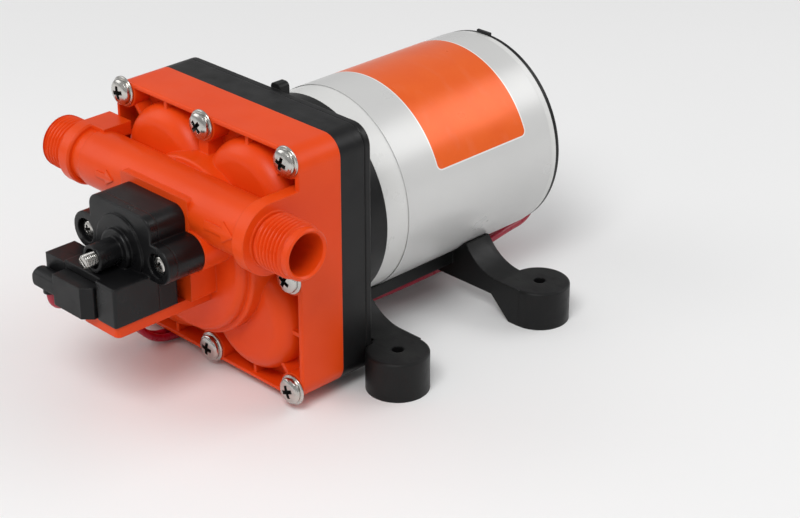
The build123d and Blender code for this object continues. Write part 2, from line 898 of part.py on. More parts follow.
def brush_card():
    """The plate that carries both brush holders."""
    holder_half = brush_depth / 2 + holder_wall
    front = brush_y + holder_half
    card = ring(inner_can_radius - gap, card_bore, front, front + card_thickness)
    outer_high = brush_width / 2 + holder_wall
    inner_high = brush_width / 2 + bore_fit
    inner_half = brush_depth / 2 + bore_fit
    for side in (-1, 1):
        left, right = sorted((side * holder_start, side * holder_end))
        card += block(
            left, right, brush_y - holder_half, front, axis_height - outer_high, axis_height + outer_high
        )
        left, right = sorted((side * (holder_start - overrun), side * (holder_end - holder_wall)))
        card -= block(
            left,
            right,
            brush_y - inner_half,
            brush_y + inner_half,
            axis_height - inner_high,
            axis_height + inner_high,
        )
    for z in (axis_height + bolt_circle, axis_height - bolt_circle):
        card -= disc(bolt_radius + gap, front - overrun, front + card_thickness + overrun, 0, z)
    return card


def brush(side):
    left, right = sorted((side * commutator_radius, side * (commutator_radius + brush_length)))
    low = axis_height - brush_width / 2
    body = block(left, right, brush_y - brush_depth / 2, brush_y + brush_depth / 2, low, low + brush_width)
    return body - disc(commutator_radius + bore_fit, brush_y - brush_depth, brush_y + brush_depth)


def coil_spring(radius, wire, turns, length):
    """A helical spring on the origin along Z, of six sided wire that keeps its faces few."""
    height = length - wire
    path = Helix(pitch=height / turns, height=height, radius=radius)
    section = Plane(origin=path @ 0, z_dir=path % 0) * RegularPolygon(wire / 2, wire_sides)
    return Pos(0, 0, wire / 2) * sweep(section, path=path, is_frenet=True)


def brush_spring(side):
    start = commutator_radius + brush_length
    length = holder_end - holder_wall - start
    coil = coil_spring(brush_spring_radius, spring_wire, brush_spring_turns, length - bore_fit)
    plane = Plane(
        origin=(side * (start + bore_fit / 2), brush_y, axis_height), x_dir=(0, 1, 0), z_dir=(side, 0, 0)
    )
    return plane * coil


def through_bolts():
    front = can_front - drive_wall
    bolts = []
    for z in (axis_height + bolt_circle, axis_height - bolt_circle):
        shank = disc(bolt_radius, front, cap_rear, 0, z)
        bolts.append(shank + disc(bolt_head_radius, cap_rear, cap_rear + bolt_head_height, 0, z))
    return bolts


# Base with its four feet


def leg_profile():
    """Front view of one leg: under the can, down a concave sweep to the foot."""
    foot_x = foot_span_x / 2
    sweep_centre_z = foot_height + leg_sweep_radius
    heel_x = foot_x - leg_heel
    toe_x = heel_x - leg_heel_run
    sweep_x = foot_x - leg_sweep_share * foot_radius
    crest_z = sweep_centre_z - math.sqrt(leg_sweep_radius**2 - (sweep_x - leg_crest_x) ** 2)
    arc_middle_x = (leg_crest_x + sweep_x) / 2
    arc_middle_z = sweep_centre_z - math.sqrt(leg_sweep_radius**2 - (sweep_x - arc_middle_x) ** 2)
    lines = [
        Line((0, leg_underside), (toe_x, leg_underside)),
        Line((toe_x, leg_underside), (heel_x, 0)),
        Line((heel_x, 0), (foot_x, 0)),
        Line((foot_x, 0), (foot_x, foot_height)),
        Line((foot_x, foot_height), (sweep_x, foot_height)),
        ThreePointArc((sweep_x, foot_height), (arc_middle_x, arc_middle_z), (leg_crest_x, crest_z)),
        Line((leg_crest_x, crest_z), (0, crest_z)),
        Line((0, crest_z), (0, leg_underside)),
    ]
    return make_face(Wire(lines))


def base_saddle():
    """Four feet, the legs that join them under the can, and the curved saddle between its rails."""
    seat_radius_here = can_radius + label_gap + label_thickness + gap / 2
    reach = foot_span_y / 2
    inner = reach + overrun - leg_width
    half = leg_profile()
    legs = []
    for front in (inner, -inner - leg_width):
        legs.append(slab(half, front, front + leg_width))
        legs.append(mirror(legs[-1], about=Plane.YZ))
    saddle = ring(
        seat_radius_here + saddle_thickness, seat_radius_here - overrun, -inner - leg_width, inner + leg_width
    )
    saddle &= block(
        -saddle_half_width, saddle_half_width, -inner - leg_width, inner + leg_width, 0, axis_height
    )
    body = saddle
    for leg in legs:
        body += leg
    for side in (-1, 1):
        left, right = sorted((side * (saddle_half_width - rail_width), side * saddle_half_width))
        body += block(left, right, -inner, inner, rail_underside, axis_height / 2)
    body -= disc(seat_radius_here, -reach - foot_radius, reach + foot_radius)
    for x in (-foot_span_x / 2, foot_span_x / 2):
        for y in (-reach, reach):
            foot = rod_z(foot_radius, 0, foot_height, x, y)
            body += fillet(foot.edges().group_by(Axis.Z)[-1], foot_edge)
    body -= slab(outline(-gap), seam - foot_radius, collar_front + gap)
    for x in (-foot_span_x / 2, foot_span_x / 2):
        for y in (-reach, reach):
            body -= rod_z(foot_hole_radius, -overrun, foot_height + overrun, x, y)
    for y in (-base_screw_y, base_screw_y):
        body -= rod_z(base_screw_radius + bore_fit, 0, axis_height, 0, y)
    return body


def base_screws():
    """Two screws up through the saddle into the can."""
    head_top = axis_height - can_radius - label_gap - label_thickness - gap / 2 - saddle_thickness
    shank_top = axis_height - inner_can_radius
    screws = []
    for y in (-base_screw_y, base_screw_y):
        head = rod_z(base_screw_head_radius, head_top - base_screw_head_height, head_top, 0, y)
        head = fillet(head.edges().group_by(Axis.Z)[0], base_screw_head_height / 2)
        screws.append(head + rod_z(base_screw_radius, head_top, shank_top, 0, y))
    return screws


# Pressure switch


def switch_outline():
    middle = (switch_top + switch_height - ear_radius) / 2
    height = switch_top - switch_height + ear_radius
    shape = Pos(0, middle) * RectangleRounded(2 * switch_half_width, height, switch_corner)
    return shape + Pos(0, switch_height) * SlotCenterToCenter(2 * ear_offset, 2 * ear_radius)


plunger_rear = switch_rear - switch_diaphragm_thickness - gap
plunger_front = plunger_rear - plunger_thickness
arm_front = plunger_rear - plunger_arm_thickness
microswitch_rear = arm_front - button_play - button_rise
microswitch_front = microswitch_rear - microswitch_depth
microswitch_bottom = box_bottom + microswitch_floor + gap
seat_rear = neck_front - adjusting_screw_reach + adjusting_screw_length + seat_thickness
screw_front = neck_front - adjusting_screw_reach


def switch_room():
    """The space inside the switch for the plunger, its arm and the microswitch."""
    room = disc(plunger_radius + gap, plunger_front - plunger_travel - gap, switch_rear, 0, switch_height)
    arm_half = plunger_arm_width / 2 + gap
    arm_low = switch_height - plunger_arm_drop - gap
    room += block(
        -arm_half, arm_half, arm_front - plunger_travel - gap, plunger_rear + gap, arm_low, switch_height
    )
    half = microswitch_half_width + bore_fit
    top = microswitch_bottom + microswitch_height + bore_fit
    rear = arm_front - plunger_travel
    room += block(-half, half, microswitch_front - bore_fit, rear, microswitch_bottom - bore_fit, top)
    room += disc(
        spring_chamber_radius,
        seat_rear - seat_thickness - adjusting_travel - gap,
        plunger_front,
        0,
        switch_height,
    )
    return room


def switch_body():
    body = slab(switch_outline(), switch_seam, switch_rear)
    body += block(-box_left, box_right, switch_seam, switch_rear - box_rear_reach, box_bottom, box_top)
    body -= disc(
        switch_diaphragm_radius + gap,
        switch_rear - switch_diaphragm_thickness,
        switch_rear + overrun,
        0,
        switch_height,
    )
    body -= switch_room()
    for x in (-ear_offset, ear_offset):
        body -= disc(
            switch_screw_radius + bore_fit, switch_seam - overrun, switch_rear + overrun, x, switch_height
        )
    return body


def switch_cap():
    body = slab(switch_outline(), switch_front, switch_seam)
    body = fillet(body.faces().sort_by(Axis.Y)[0].edges(), box_edge / 2)
    box = block(-box_left, box_right, box_front + arm_setback, switch_seam, box_bottom, box_top)
    box += block(box_front_split, box_right, box_front, switch_front, box_bottom, box_top)
    box = fillet(box.edges().filter_by(Axis.Z).group_by(Axis.Y)[0], box_edge)
    box = fillet(box.faces().filter_by(Axis.Z).sort_by(Axis.Z)[-1].edges().group_by(Axis.Y)[0], box_edge / 2)
    body += box
    body += disc(face_disc_radius, switch_front - face_disc_rise, switch_seam, 0, switch_height)
    body += front_rounded(
        disc(neck_base_radius, switch_front - neck_base_rise, switch_seam, 0, switch_height), face_disc_rise
    )
    body += front_rounded(disc(neck_radius, neck_front, switch_seam, 0, switch_height), box_edge / 3)
    body -= disc(neck_mouth_radius, neck_front - overrun, neck_front + neck_mouth_depth, 0, switch_height)
    body -= disc(adjusting_screw_radius + bore_fit, neck_front, switch_front, 0, switch_height)
    body -= switch_room()
    for x in (-ear_offset, ear_offset):
        body -= disc(
            ear_recess_radius, switch_front - overrun, switch_front + ear_recess_depth, x, switch_height
        )
        body -= disc(switch_screw_radius + bore_fit, switch_front, switch_seam + overrun, x, switch_height)
    body -= terminal_room()
    return body


def switch_screws():
    head_rear = switch_front + ear_recess_depth
    return [
        screw(
            (x, switch_height),
            head_rear,
            switch_screw_length,
            switch_screw_radius,
            switch_screw_head_radius,
            switch_screw_head_height,
        )
        for x in (-ear_offset, ear_offset)
    ]


def switch_diaphragm():
    return disc(
        switch_diaphragm_radius, switch_rear - switch_diaphragm_thickness, switch_rear, 0, switch_height
    )


def switch_plunger():
    plate = disc(plunger_radius, plunger_front, plunger_rear, 0, switch_height)
    half = plunger_arm_width / 2
    return plate + block(
        -half, half, arm_front, plunger_rear, switch_height - plunger_arm_drop, switch_height
    )


def pressure_spring():
    length = plunger_front - seat_rear - 2 * bore_fit
    coil = coil_spring(pressure_spring_radius, spring_wire, pressure_spring_turns, length)
    plane = Plane(origin=(0, seat_rear + bore_fit, switch_height), x_dir=(1, 0, 0), z_dir=(0, 1, 0))
    return plane * coil


def spring_seat():
    return disc(seat_radius, seat_rear - seat_thickness, seat_rear, 0, switch_height)


def adjusting_screw():
    rod = disc(adjusting_screw_radius, screw_front, screw_front + adjusting_screw_length, 0, switch_height)
    return chamfer(rod.edges().group_by(Axis.Y)[0], adjusting_screw_radius / 6)


def microswitch():
    half = microswitch_half_width
    top = microswitch_bottom + microswitch_height
    body = block(-half, half, microswitch_front, microswitch_rear, microswitch_bottom, top)
    return body - button_shape(bore_fit, 2 * button_rise)


def button_shape(margin, depth):
    """The button with a margin all round, reaching a depth into the microswitch."""
    middle = microswitch_bottom + microswitch_height / 2
    half = button_width / 2 + margin
    high = button_height / 2 + margin
    return block(
        -half,
        half,
        microswitch_rear - depth - margin,
        microswitch_rear + button_rise,
        middle - high,
        middle + high,
    )


def microswitch_button():
    return button_shape(0, button_rise / 2)


# Terminals and their rubber boots, one behind the other on the inlet side of the switch

rear_terminal_y = box_front + arm_setback + boot_depth / 2
front_terminal_y = box_front + 3 * terminal_thickness / 2
terminal_middle = (boot_bottom + boot_top) / 2
front_middle = (box_bottom + front_boot_top) / 2
rear_lead_x = -box_left - boot_length + sleeve_radius
rear_lead_y = rear_terminal_y - sleeve_radius
front_lead_x = box_front_split - boot_fit - front_boot_length - boot_nub_length / 2
front_lead_y = (2 * box_front + arm_setback - boot_fit - front_boot_reach) / 2
front_sleeve_bottom = front_middle - boot_nub_radius - sleeve_drop / 2


def blade(left, right, y, middle):
    half = terminal_thickness / 2
    high = terminal_width / 2
    return block(left, right, y - half, y + half, middle - high, middle + high)


def terminals():
    """Two spade terminals, each let into the side of the terminal box."""
    reach = boot_length / 2
    rear = blade(-box_left - reach, -box_left + box_wall, rear_terminal_y, terminal_middle)
    front = blade(box_front_split - reach, box_front_split + box_wall, front_terminal_y, front_middle)
    return [rear, front]


def terminal_room():
    """The slots in the terminal box that hold the roots of the terminals."""
    rear = blade(-box_left - overrun, -box_left + box_wall, rear_terminal_y, terminal_middle)
    front = blade(box_front_split - overrun, box_front_split + box_wall, front_terminal_y, front_middle)
    return rear + front


def rear_boot():
    right = -box_left - boot_fit
    left = right - boot_length
    front = rear_terminal_y - boot_depth / 2
    body = block(left, right, front, front + boot_depth, boot_bottom, boot_top)
    body = fillet(body.edges().group_by(Axis.X)[0], boot_edge)
    body += rod_z(sleeve_radius, boot_bottom - sleeve_drop, terminal_middle, rear_lead_x, rear_lead_y)
    return body - blade(-box_left - boot_length / 2, right + overrun, rear_terminal_y, terminal_middle)


def front_boot():
    right = box_front_split - boot_fit
    left = right - front_boot_length
    front = box_front - front_boot_reach
    rear = box_front + arm_setback - boot_fit
    body = block(left, right, front, rear, box_bottom, front_boot_top)
    body = chamfer(
        body.edges().filter_by(Axis.Z).group_by(Axis.Y)[0].sort_by(Axis.X)[-1],
        front_boot_chamfer_share * front_boot_reach,
    )
    body = fillet(body.edges().group_by(Axis.X)[0], boot_edge)
    nub_y = (front + rear) / 2
    nub = rod_x(boot_nub_radius, left - boot_nub_length, left + overrun, nub_y, front_middle)
    nub = fillet(nub.edges().group_by(Axis.X)[0], boot_edge)
    nub &= block(left - boot_nub_length, left + boot_nub_length, front, rear, box_bottom, front_boot_top)
    body += nub
    body += rod_z(sleeve_radius, front_sleeve_bottom, front_middle, front_lead_x, nub_y)
    return body - blade(box_front_split - boot_length / 2, right + overrun, front_terminal_y, front_middle)


# Leads, held all the way from the switch, under the head and the saddle, to the rear grommet


def lead(points):
    """A lead along straight runs joined by arcs as large as the runs allow."""
    radii = []
    for before, corner, after in zip(points, points[1:], points[2:]):
        one = Vector(*corner) - Vector(*before)
        two = Vector(*after) - Vector(*corner)
        half_turn = math.radians(one.get_angle(two) / 2)
        radii.append(lead_arc_share * min(one.length, two.length) / math.tan(half_turn))
    path = FilletPolyline(*points, radius=radii)
    section = Plane(origin=path @ 0, z_dir=path % 0) * Circle(lead_radius)
    solid = sweep(section, path=path)
    expected = math.pi * lead_radius**2 * path.length
    print("lead radii", [round(value, 1) for value in radii], "volume", round(solid.volume / expected, 4))
    return solid


def motor_lead():
    """From the front boot to the motor."""
    x = grommet_x + lead_spacing / 2
    points = [
        (front_lead_x, front_lead_y, front_sleeve_bottom),
        (front_lead_x, front_lead_y, 39.0),
        (-23.0, -125.0, 35.5),
        (-25.5, -110.0, 29.0),
        (-27.5, -97.0, 19.0),
        (-28.0, -86.0, 1.95),
        (-25.0, -71.0, 1.95),
        (-16.5, -58.0, 1.95),
        (-4.0, -38.0, 1.95),
        (x - 4.0, -18.0, 5.8),
        (x, 0.0, 7.2),
        (x + 0.3, 22.0, 7.2),
        (x, 44.0, 7.2),
        (x, 61.5, 9.4),
        (x, 73.0, 11.2),
        (x, 83.1, 12.0),
        (x, 89.0, 17.9),
        (x, 89.0, 26.1),
        (x, 83.1, grommet_z),
        (x, cap_rear + grommet_flange, grommet_z),
    ]
    return lead(points)


def supply_lead():
    """From the rear boot to the rear of the motor."""
    x = grommet_x - lead_spacing / 2
    points = [
        (rear_lead_x, rear_lead_y, boot_bottom - sleeve_drop),
        (rear_lead_x, rear_lead_y, 42.0),
        (-27.5, -118.0, 37.5),
        (-30.0, -105.0, 29.5),
        (-31.5, -95.5, 18.5),
        (-32.0, -86.0, 1.95),
        (-29.5, -70.5, 1.95),
        (-21.0, -56.5, 1.95),
        (-8.5, -37.0, 1.95),
        (x - 4.5, -17.5, 5.8),
        (x, 0.0, 7.2),
        (x - 0.3, 22.0, 7.2),
        (x, 44.0, 7.2),
        (x, 61.5, 9.4),
        (x, 73.0, 11.2),
        (x, 83.1, 12.0),
        (x, 89.0, 17.9),
        (x, 89.0, 26.1),
        (x, 83.1, grommet_z),
        (x, cap_rear + grommet_flange, grommet_z),
    ]
    return lead(points)


def lead_grommet():
    plug = disc(grommet_plug_radius - bore_fit, can_rear - register_depth, cap_rear, grommet_x, grommet_z)
    flange = disc(grommet_radius, cap_rear, cap_rear + grommet_flange, grommet_x, grommet_z)
    flange = fillet(flange.edges().group_by(Axis.Y)[-1], grommet_flange / 3)
    return plug + flange


# Every piece under its own name


def build_all():
    wobble_inner, wobble_outer = bearing_rings(
        wobble_bearing_bore, wobble_bearing_radius, wobble_bearing_width, wobble_bearing_front
    )
    front_inner, front_outer = bearing_rings(
        shaft_radius, front_bearing_radius, front_bearing_width, front_bearing_front
    )
    return {
        "front_housing": front_housing(),
        "housing_screws": housing_screws(),
        "screw_washers": screw_washers(),
        "chamber_seal": chamber_seal(),
        "valve_plate": valve_plate(),
        "inlet_valves": inlet_valves(),
        "outlet_valve": outlet_valve(),
        "diaphragm": diaphragm(),
        "diaphragm_housing": diaphragm_housing(),
        "pistons": pistons(),
        "piston_screws": piston_screws(),
        "wobble_plate": wobble_plate(),
        "wobble_bearing_outer_ring": tilted(wobble_outer),
        "wobble_bearing_inner_ring": tilted(wobble_inner),
        "eccentric_bush": eccentric_bush(),
        "drive_housing": drive_housing(),
        "front_bearing_outer_ring": front_outer,
        "front_bearing_inner_ring": front_inner,
        "motor_shaft": motor_shaft(),
        "armature_core": armature_core(),
        "armature_windings": armature_windings(),
        "commutator": commutator(),
        "field_magnets": field_magnets(),
        "motor_can": motor_can(),
        "motor_label": motor_label(),
        "brush_card": brush_card(),
        "inlet_side_brush": brush(-1),
        "outlet_side_brush": brush(1),
        "inlet_side_brush_spring": brush_spring(-1),
        "outlet_side_brush_spring": brush_spring(1),
        "through_bolts": through_bolts(),
        "end_cap": end_cap(),
        "rear_bush": rear_bush(),
        "base_saddle": base_saddle(),
        "base_screws": base_screws(),
        "switch_body": switch_body(),
        "switch_cap": switch_cap(),
        "switch_screws": switch_screws(),
        "switch_diaphragm": switch_diaphragm(),
        "switch_plunger": switch_plunger(),
        "pressure_spring": pressure_spring(),
        "spring_seat": spring_seat(),
        "adjusting_screw": adjusting_screw(),
        "microswitch": microswitch(),
        "microswitch_button": microswitch_button(),
        "terminals": terminals(),
        "front_terminal_boot": front_boot(),
        "rear_terminal_boot": rear_boot(),
        "motor_lead": motor_lead(),
        "supply_lead": supply_lead(),
        "lead_grommet": lead_grommet(),
    }


os.makedirs("parts", exist_ok=True)
for name, shape in build_all().items():
    solids = shape if isinstance(shape, list) else shape.solids()
    solids = [solid for item in solids for solid in item.solids()]
    piece = solids[0] if len(solids) == 1 else Compound(children=solids)
    piece.label = name
    export_step(piece, os.path.join("parts", name + ".step"))
    print(name, len(solids), round(sum(solid.volume for solid in solids), 1))
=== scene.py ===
"""Looks of a caravan water pump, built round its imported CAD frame.

Sizes in the classes are millimetres unless a name says otherwise. Meshes are made in metres, in the frame's own
axes: X along the ports, Y back along the motor, Z up.
"""

from __future__ import annotations

import json
import logging
import math
from dataclasses import dataclass, replace
from enum import Enum
from typing import Iterable, Sequence

import bmesh
import bpy
from mathutils import Matrix, Vector

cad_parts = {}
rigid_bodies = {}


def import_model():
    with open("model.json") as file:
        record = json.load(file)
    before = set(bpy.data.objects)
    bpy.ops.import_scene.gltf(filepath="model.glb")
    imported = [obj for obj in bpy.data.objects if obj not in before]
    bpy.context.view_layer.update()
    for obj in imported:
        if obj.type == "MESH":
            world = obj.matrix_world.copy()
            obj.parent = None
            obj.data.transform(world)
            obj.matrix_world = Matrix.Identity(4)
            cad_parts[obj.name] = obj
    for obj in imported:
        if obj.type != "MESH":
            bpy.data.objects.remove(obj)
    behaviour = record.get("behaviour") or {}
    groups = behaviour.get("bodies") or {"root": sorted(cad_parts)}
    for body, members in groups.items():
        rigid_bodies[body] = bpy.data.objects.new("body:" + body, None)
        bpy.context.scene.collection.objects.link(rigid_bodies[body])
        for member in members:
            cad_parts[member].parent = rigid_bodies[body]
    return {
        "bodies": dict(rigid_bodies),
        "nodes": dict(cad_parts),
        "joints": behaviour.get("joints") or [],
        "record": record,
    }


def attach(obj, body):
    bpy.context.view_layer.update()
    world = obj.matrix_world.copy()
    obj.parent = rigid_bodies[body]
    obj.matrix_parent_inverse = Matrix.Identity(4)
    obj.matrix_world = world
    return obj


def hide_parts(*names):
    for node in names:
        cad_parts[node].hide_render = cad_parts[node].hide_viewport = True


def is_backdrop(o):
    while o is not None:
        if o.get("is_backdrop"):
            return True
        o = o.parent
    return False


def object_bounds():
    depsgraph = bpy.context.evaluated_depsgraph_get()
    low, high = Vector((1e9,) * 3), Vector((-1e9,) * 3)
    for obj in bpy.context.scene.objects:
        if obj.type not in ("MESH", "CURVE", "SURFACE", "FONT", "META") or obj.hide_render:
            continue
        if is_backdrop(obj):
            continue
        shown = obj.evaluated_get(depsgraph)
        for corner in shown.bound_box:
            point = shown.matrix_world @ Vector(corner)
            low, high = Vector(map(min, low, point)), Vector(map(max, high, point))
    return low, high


LOG = logging.getLogger("water_pump")
MM = 0.001
OVERRUN = 1.0  # how far a cutter passes the face that it opens
BEVEL_SAMPLES = 4
CLOUD_SPAN = (0.35, 0.65)
SHINE_SPAN = (0.3, 0.7)
EDGE_SPAN = (0.99, 0.80)
WEAR_CLOUD = 3.0
WEAR_SPAN = (0.4, 0.7)
WEAR_RANGE = (0.1, 1.0)
SCUFF_STRETCH = (1.0, 2.6, 1.7)
SCUFF_SPAN = (0.56, 0.72)
DOUBLED = 0.002  # points of a CAD mesh closer than this are one
EMPTY = 0.0005  # edges shorter than this are none
Colour = tuple[float, float, float]
Point = tuple[float, float, float]
Span = tuple[float, float]
Socket = bpy.types.NodeSocket
Mesh = bpy.types.Mesh


class Side(Enum):
    """The two ends of the head, by the way their port points along X."""

    INLET = -1
    OUTLET = 1


class Reach(Enum):
    """How a boolean cutter works on a piece."""

    CUT = "DIFFERENCE"
    JOIN = "UNION"


# Materials


class MaterialGraph:
    """One node material, with short calls for the nodes that the finishes share."""

    def __init__(self, name: str) -> None:
        """Makes an empty material whose shader and output are joined.

        Args:
            name: The material's name.
        """
        self.material = bpy.data.materials.new(name)
        self.material.use_nodes = True
        self.tree = self.material.node_tree
        self.tree.nodes.clear()
        output = self.tree.nodes.new("ShaderNodeOutputMaterial")
        self.shader = self.tree.nodes.new("ShaderNodeBsdfPrincipled")
        self.join(self.shader.outputs["BSDF"], output.inputs["Surface"])
        self.place = self.tree.nodes.new("ShaderNodeTexCoord").outputs["Object"]

    def join(self, source: Socket, target: Socket) -> None:
        """Links an output socket to an input socket."""
        self.tree.links.new(source, target)

    def feed(self, target: Socket, value: object) -> None:
        """Links an output into a socket, or sets the socket's own number or colour.

        Args:
            target: The input socket.
            value: An output socket, a number or a colour.
        """
        if isinstance(value, Socket):
            self.join(value, target)
        elif isinstance(value, tuple) and target.type == "RGBA":
            target.default_value = (*value, 1.0)
        else:
            target.default_value = value

    def node(self, kind: str, inputs: dict[str | int, object]) -> bpy.types.Node:
        """Adds a node.

        Args:
            kind: The node's type.
            inputs: What goes into its inputs, by their name or place.

        Returns:
            The new node.
        """
        made = self.tree.nodes.new(kind)
        for key, value in inputs.items():
            self.feed(made.inputs[key], value)
        return made

    def noise(self, size: float, detail: float = 2.0, stretch: Point = (1.0, 1.0, 1.0)) -> Socket:
        """A cloudy value from 0 to 1.

        Args:
            size: The size of its clouds in millimetres.
            detail: How many finer layers it has.
            stretch: How much tighter it is along each axis.

        Returns:
            The value's socket.
        """
        scale = [share / (size * MM) for share in stretch]
        spot = self.node("ShaderNodeMapping", {"Scale": scale, "Vector": self.place}).outputs["Vector"]
        return self.node("ShaderNodeTexNoise", {"Scale": 1.0, "Detail": detail, "Vector": spot}).outputs["Fac"]

    def axes(self) -> dict[str, Socket]:
        """The sockets of the place's own three numbers, in metres, by axis."""
        split = self.node("ShaderNodeSeparateXYZ", {0: self.place})
        return {name: split.outputs[name] for name in "XYZ"}

    def remap(self, value: Socket, span: Span, to: Span = (0.0, 1.0)) -> Socket:
        """Maps a span of values to another, and stops at its ends."""
        ends = {"From Min": span[0], "From Max": span[1], "To Min": to[0], "To Max": to[1]}
        return self.node("ShaderNodeMapRange", {"Value": value, **ends}).outputs["Result"]

    def calc(self, operation: str, first: object, second: object = 0.0) -> Socket:
        """A step of arithmetic.

        Args:
            operation: The Math node's operation.
            first: A socket or number.
            second: A socket or number.

        Returns:
            The result's socket.
        """
        node = self.node("ShaderNodeMath", {0: first, 1: second})
        node.operation = operation
        return node.outputs[0]

    def mix(self, share: object, first: object, second: object) -> Socket:
        """Blends two colours.

        Args:
            share: How much of the second colour shows.
            first: A colour or its socket.
            second: A colour or its socket.

        Returns:
            The colour's socket.
        """
        node = self.tree.nodes.new("ShaderNodeMix")
        node.data_type = "RGBA"
        self.feed(node.inputs[0], share)
        self.feed(node.inputs[6], first)
        self.feed(node.inputs[7], second)
        return node.outputs[2]

    def rounded_normal(self, radius: float) -> Socket:
        """The surface's normal, with its edges rounded.

        Args:
            radius: The rounding in millimetres.

        Returns:
            The normal's socket.
        """
        node = self.node("ShaderNodeBevel", {"Radius": radius * MM})
        node.samples = BEVEL_SAMPLES
        return node.outputs["Normal"]

    def edges(self, normal: Socket) -> Socket:
        """How near a place is to an edge, from a rounded normal.

        Args:
            normal: The rounded normal.

        Returns:
            A value of 0 on flats and 1 on edges.
        """
        flat = self.tree.nodes.new("ShaderNodeNewGeometry").outputs["Normal"]
        node = self.node("ShaderNodeVectorMath", {0: normal, 1: flat})
        node.operation = "DOT_PRODUCT"
        return self.remap(node.outputs["Value"], EDGE_SPAN)

    def bump(self, height: Socket, depth: float, normal: Socket) -> Socket:
        """A normal bumped by a height, whose depth is in millimetres."""
        inputs = {"Strength": 1.0, "Distance": depth * MM, "Height": height, "Normal": normal}
        return self.node("ShaderNodeBump", inputs).outputs["Normal"]


@dataclass(frozen=True)
class Finish:
    """A material with slow colour clouds, a fine grain, scuffs and worn edges."""

    name: str
    colour: Colour
    second_colour: Colour
    edge_colour: Colour
    roughness: float
    roughness_spread: float = 0.08
    metallic: float = 0.0
    cloud_size: float = 28.0
    grain_size: float = 0.6
    grain_depth: float = 0.02
    edge_radius: float = 0.35
    edge_wear: float = 0.5
    scuff_size: float = 7.0
    scuff_share: float = 0.12
    coat: float = 0.0
    coat_roughness: float = 0.1
    specular: float = 0.5

    def base(self, graph: MaterialGraph) -> Socket:
        """The colour before scuffs and wear."""
        cloud = graph.remap(graph.noise(self.cloud_size, 3.0), CLOUD_SPAN)
        return graph.mix(cloud, self.colour, self.second_colour)

    def height(self, graph: MaterialGraph) -> Socket:
        """The height of the finish's grain."""
        return graph.noise(self.grain_size)

    def material(self) -> bpy.types.Material:
        """Builds the material once.

        Returns:
            The finish's material.
        """
        made = bpy.data.materials.get(self.name)
        if made is not None:
            return made
        graph = MaterialGraph(self.name)
        shader = graph.shader
        rounded = graph.rounded_normal(self.edge_radius)
        patches = graph.remap(graph.noise(WEAR_CLOUD, 3.0), WEAR_SPAN, WEAR_RANGE)
        worn = graph.calc("MULTIPLY", graph.edges(rounded), patches)
        worn = graph.calc("MULTIPLY", worn, self.edge_wear)
        colour = graph.mix(worn, self.base(graph), self.edge_colour)
        scuff = graph.remap(graph.noise(self.scuff_size, 6.0, SCUFF_STRETCH), SCUFF_SPAN, (0.0, self.scuff_share))
        graph.join(graph.mix(scuff, colour, self.edge_colour), shader.inputs["Base Color"])
        shine = graph.remap(graph.noise(self.cloud_size / 3, 4.0), SHINE_SPAN, (-1.0, 1.0))
        shine = graph.calc("MULTIPLY", shine, self.roughness_spread)
        shine = graph.calc("ADD", shine, self.roughness)
        graph.join(graph.calc("ADD", shine, scuff), shader.inputs["Roughness"])
        graph.join(graph.bump(self.height(graph), self.grain_depth, rounded), shader.inputs["Normal"])
        shader.inputs["Metallic"].default_value = self.metallic
        shader.inputs["Specular IOR Level"].default_value = self.specular
        shader.inputs["Coat Weight"].default_value = self.coat
        shader.inputs["Coat Roughness"].default_value = self.coat_roughness
        return graph.material


@dataclass(frozen=True)
class TurnedFinish(Finish):
    """A metal with fine rings left by turning or spinning about the motor's axis."""

    axis_height: float = 54.0
    ring_size: float = 0.35
    ring_share: float = 0.4  # of the rings in the grain

    def height(self, graph: MaterialGraph) -> Socket:
        """Rings about the axis, broken by the grain.

        Args:
            graph: The material in the making.

        Returns:
            The height's socket.
        """
        axes = graph.axes()
        rise = graph.calc("SUBTRACT", axes["Z"], self.axis_height * MM)
        squares = [graph.calc("POWER", value, 2.0) for value in (rise, axes["X"])]
        radius = graph.calc("SQRT", graph.calc("ADD", *squares))
        along = graph.calc("ADD", radius, axes["Y"])
        rings = graph.calc("SINE", graph.calc("MULTIPLY", along, math.tau / (self.ring_size * MM)))
        rings = graph.calc("MULTIPLY", rings, self.ring_share)
        return graph.calc("ADD", rings, graph.noise(self.grain_size, 3.0))


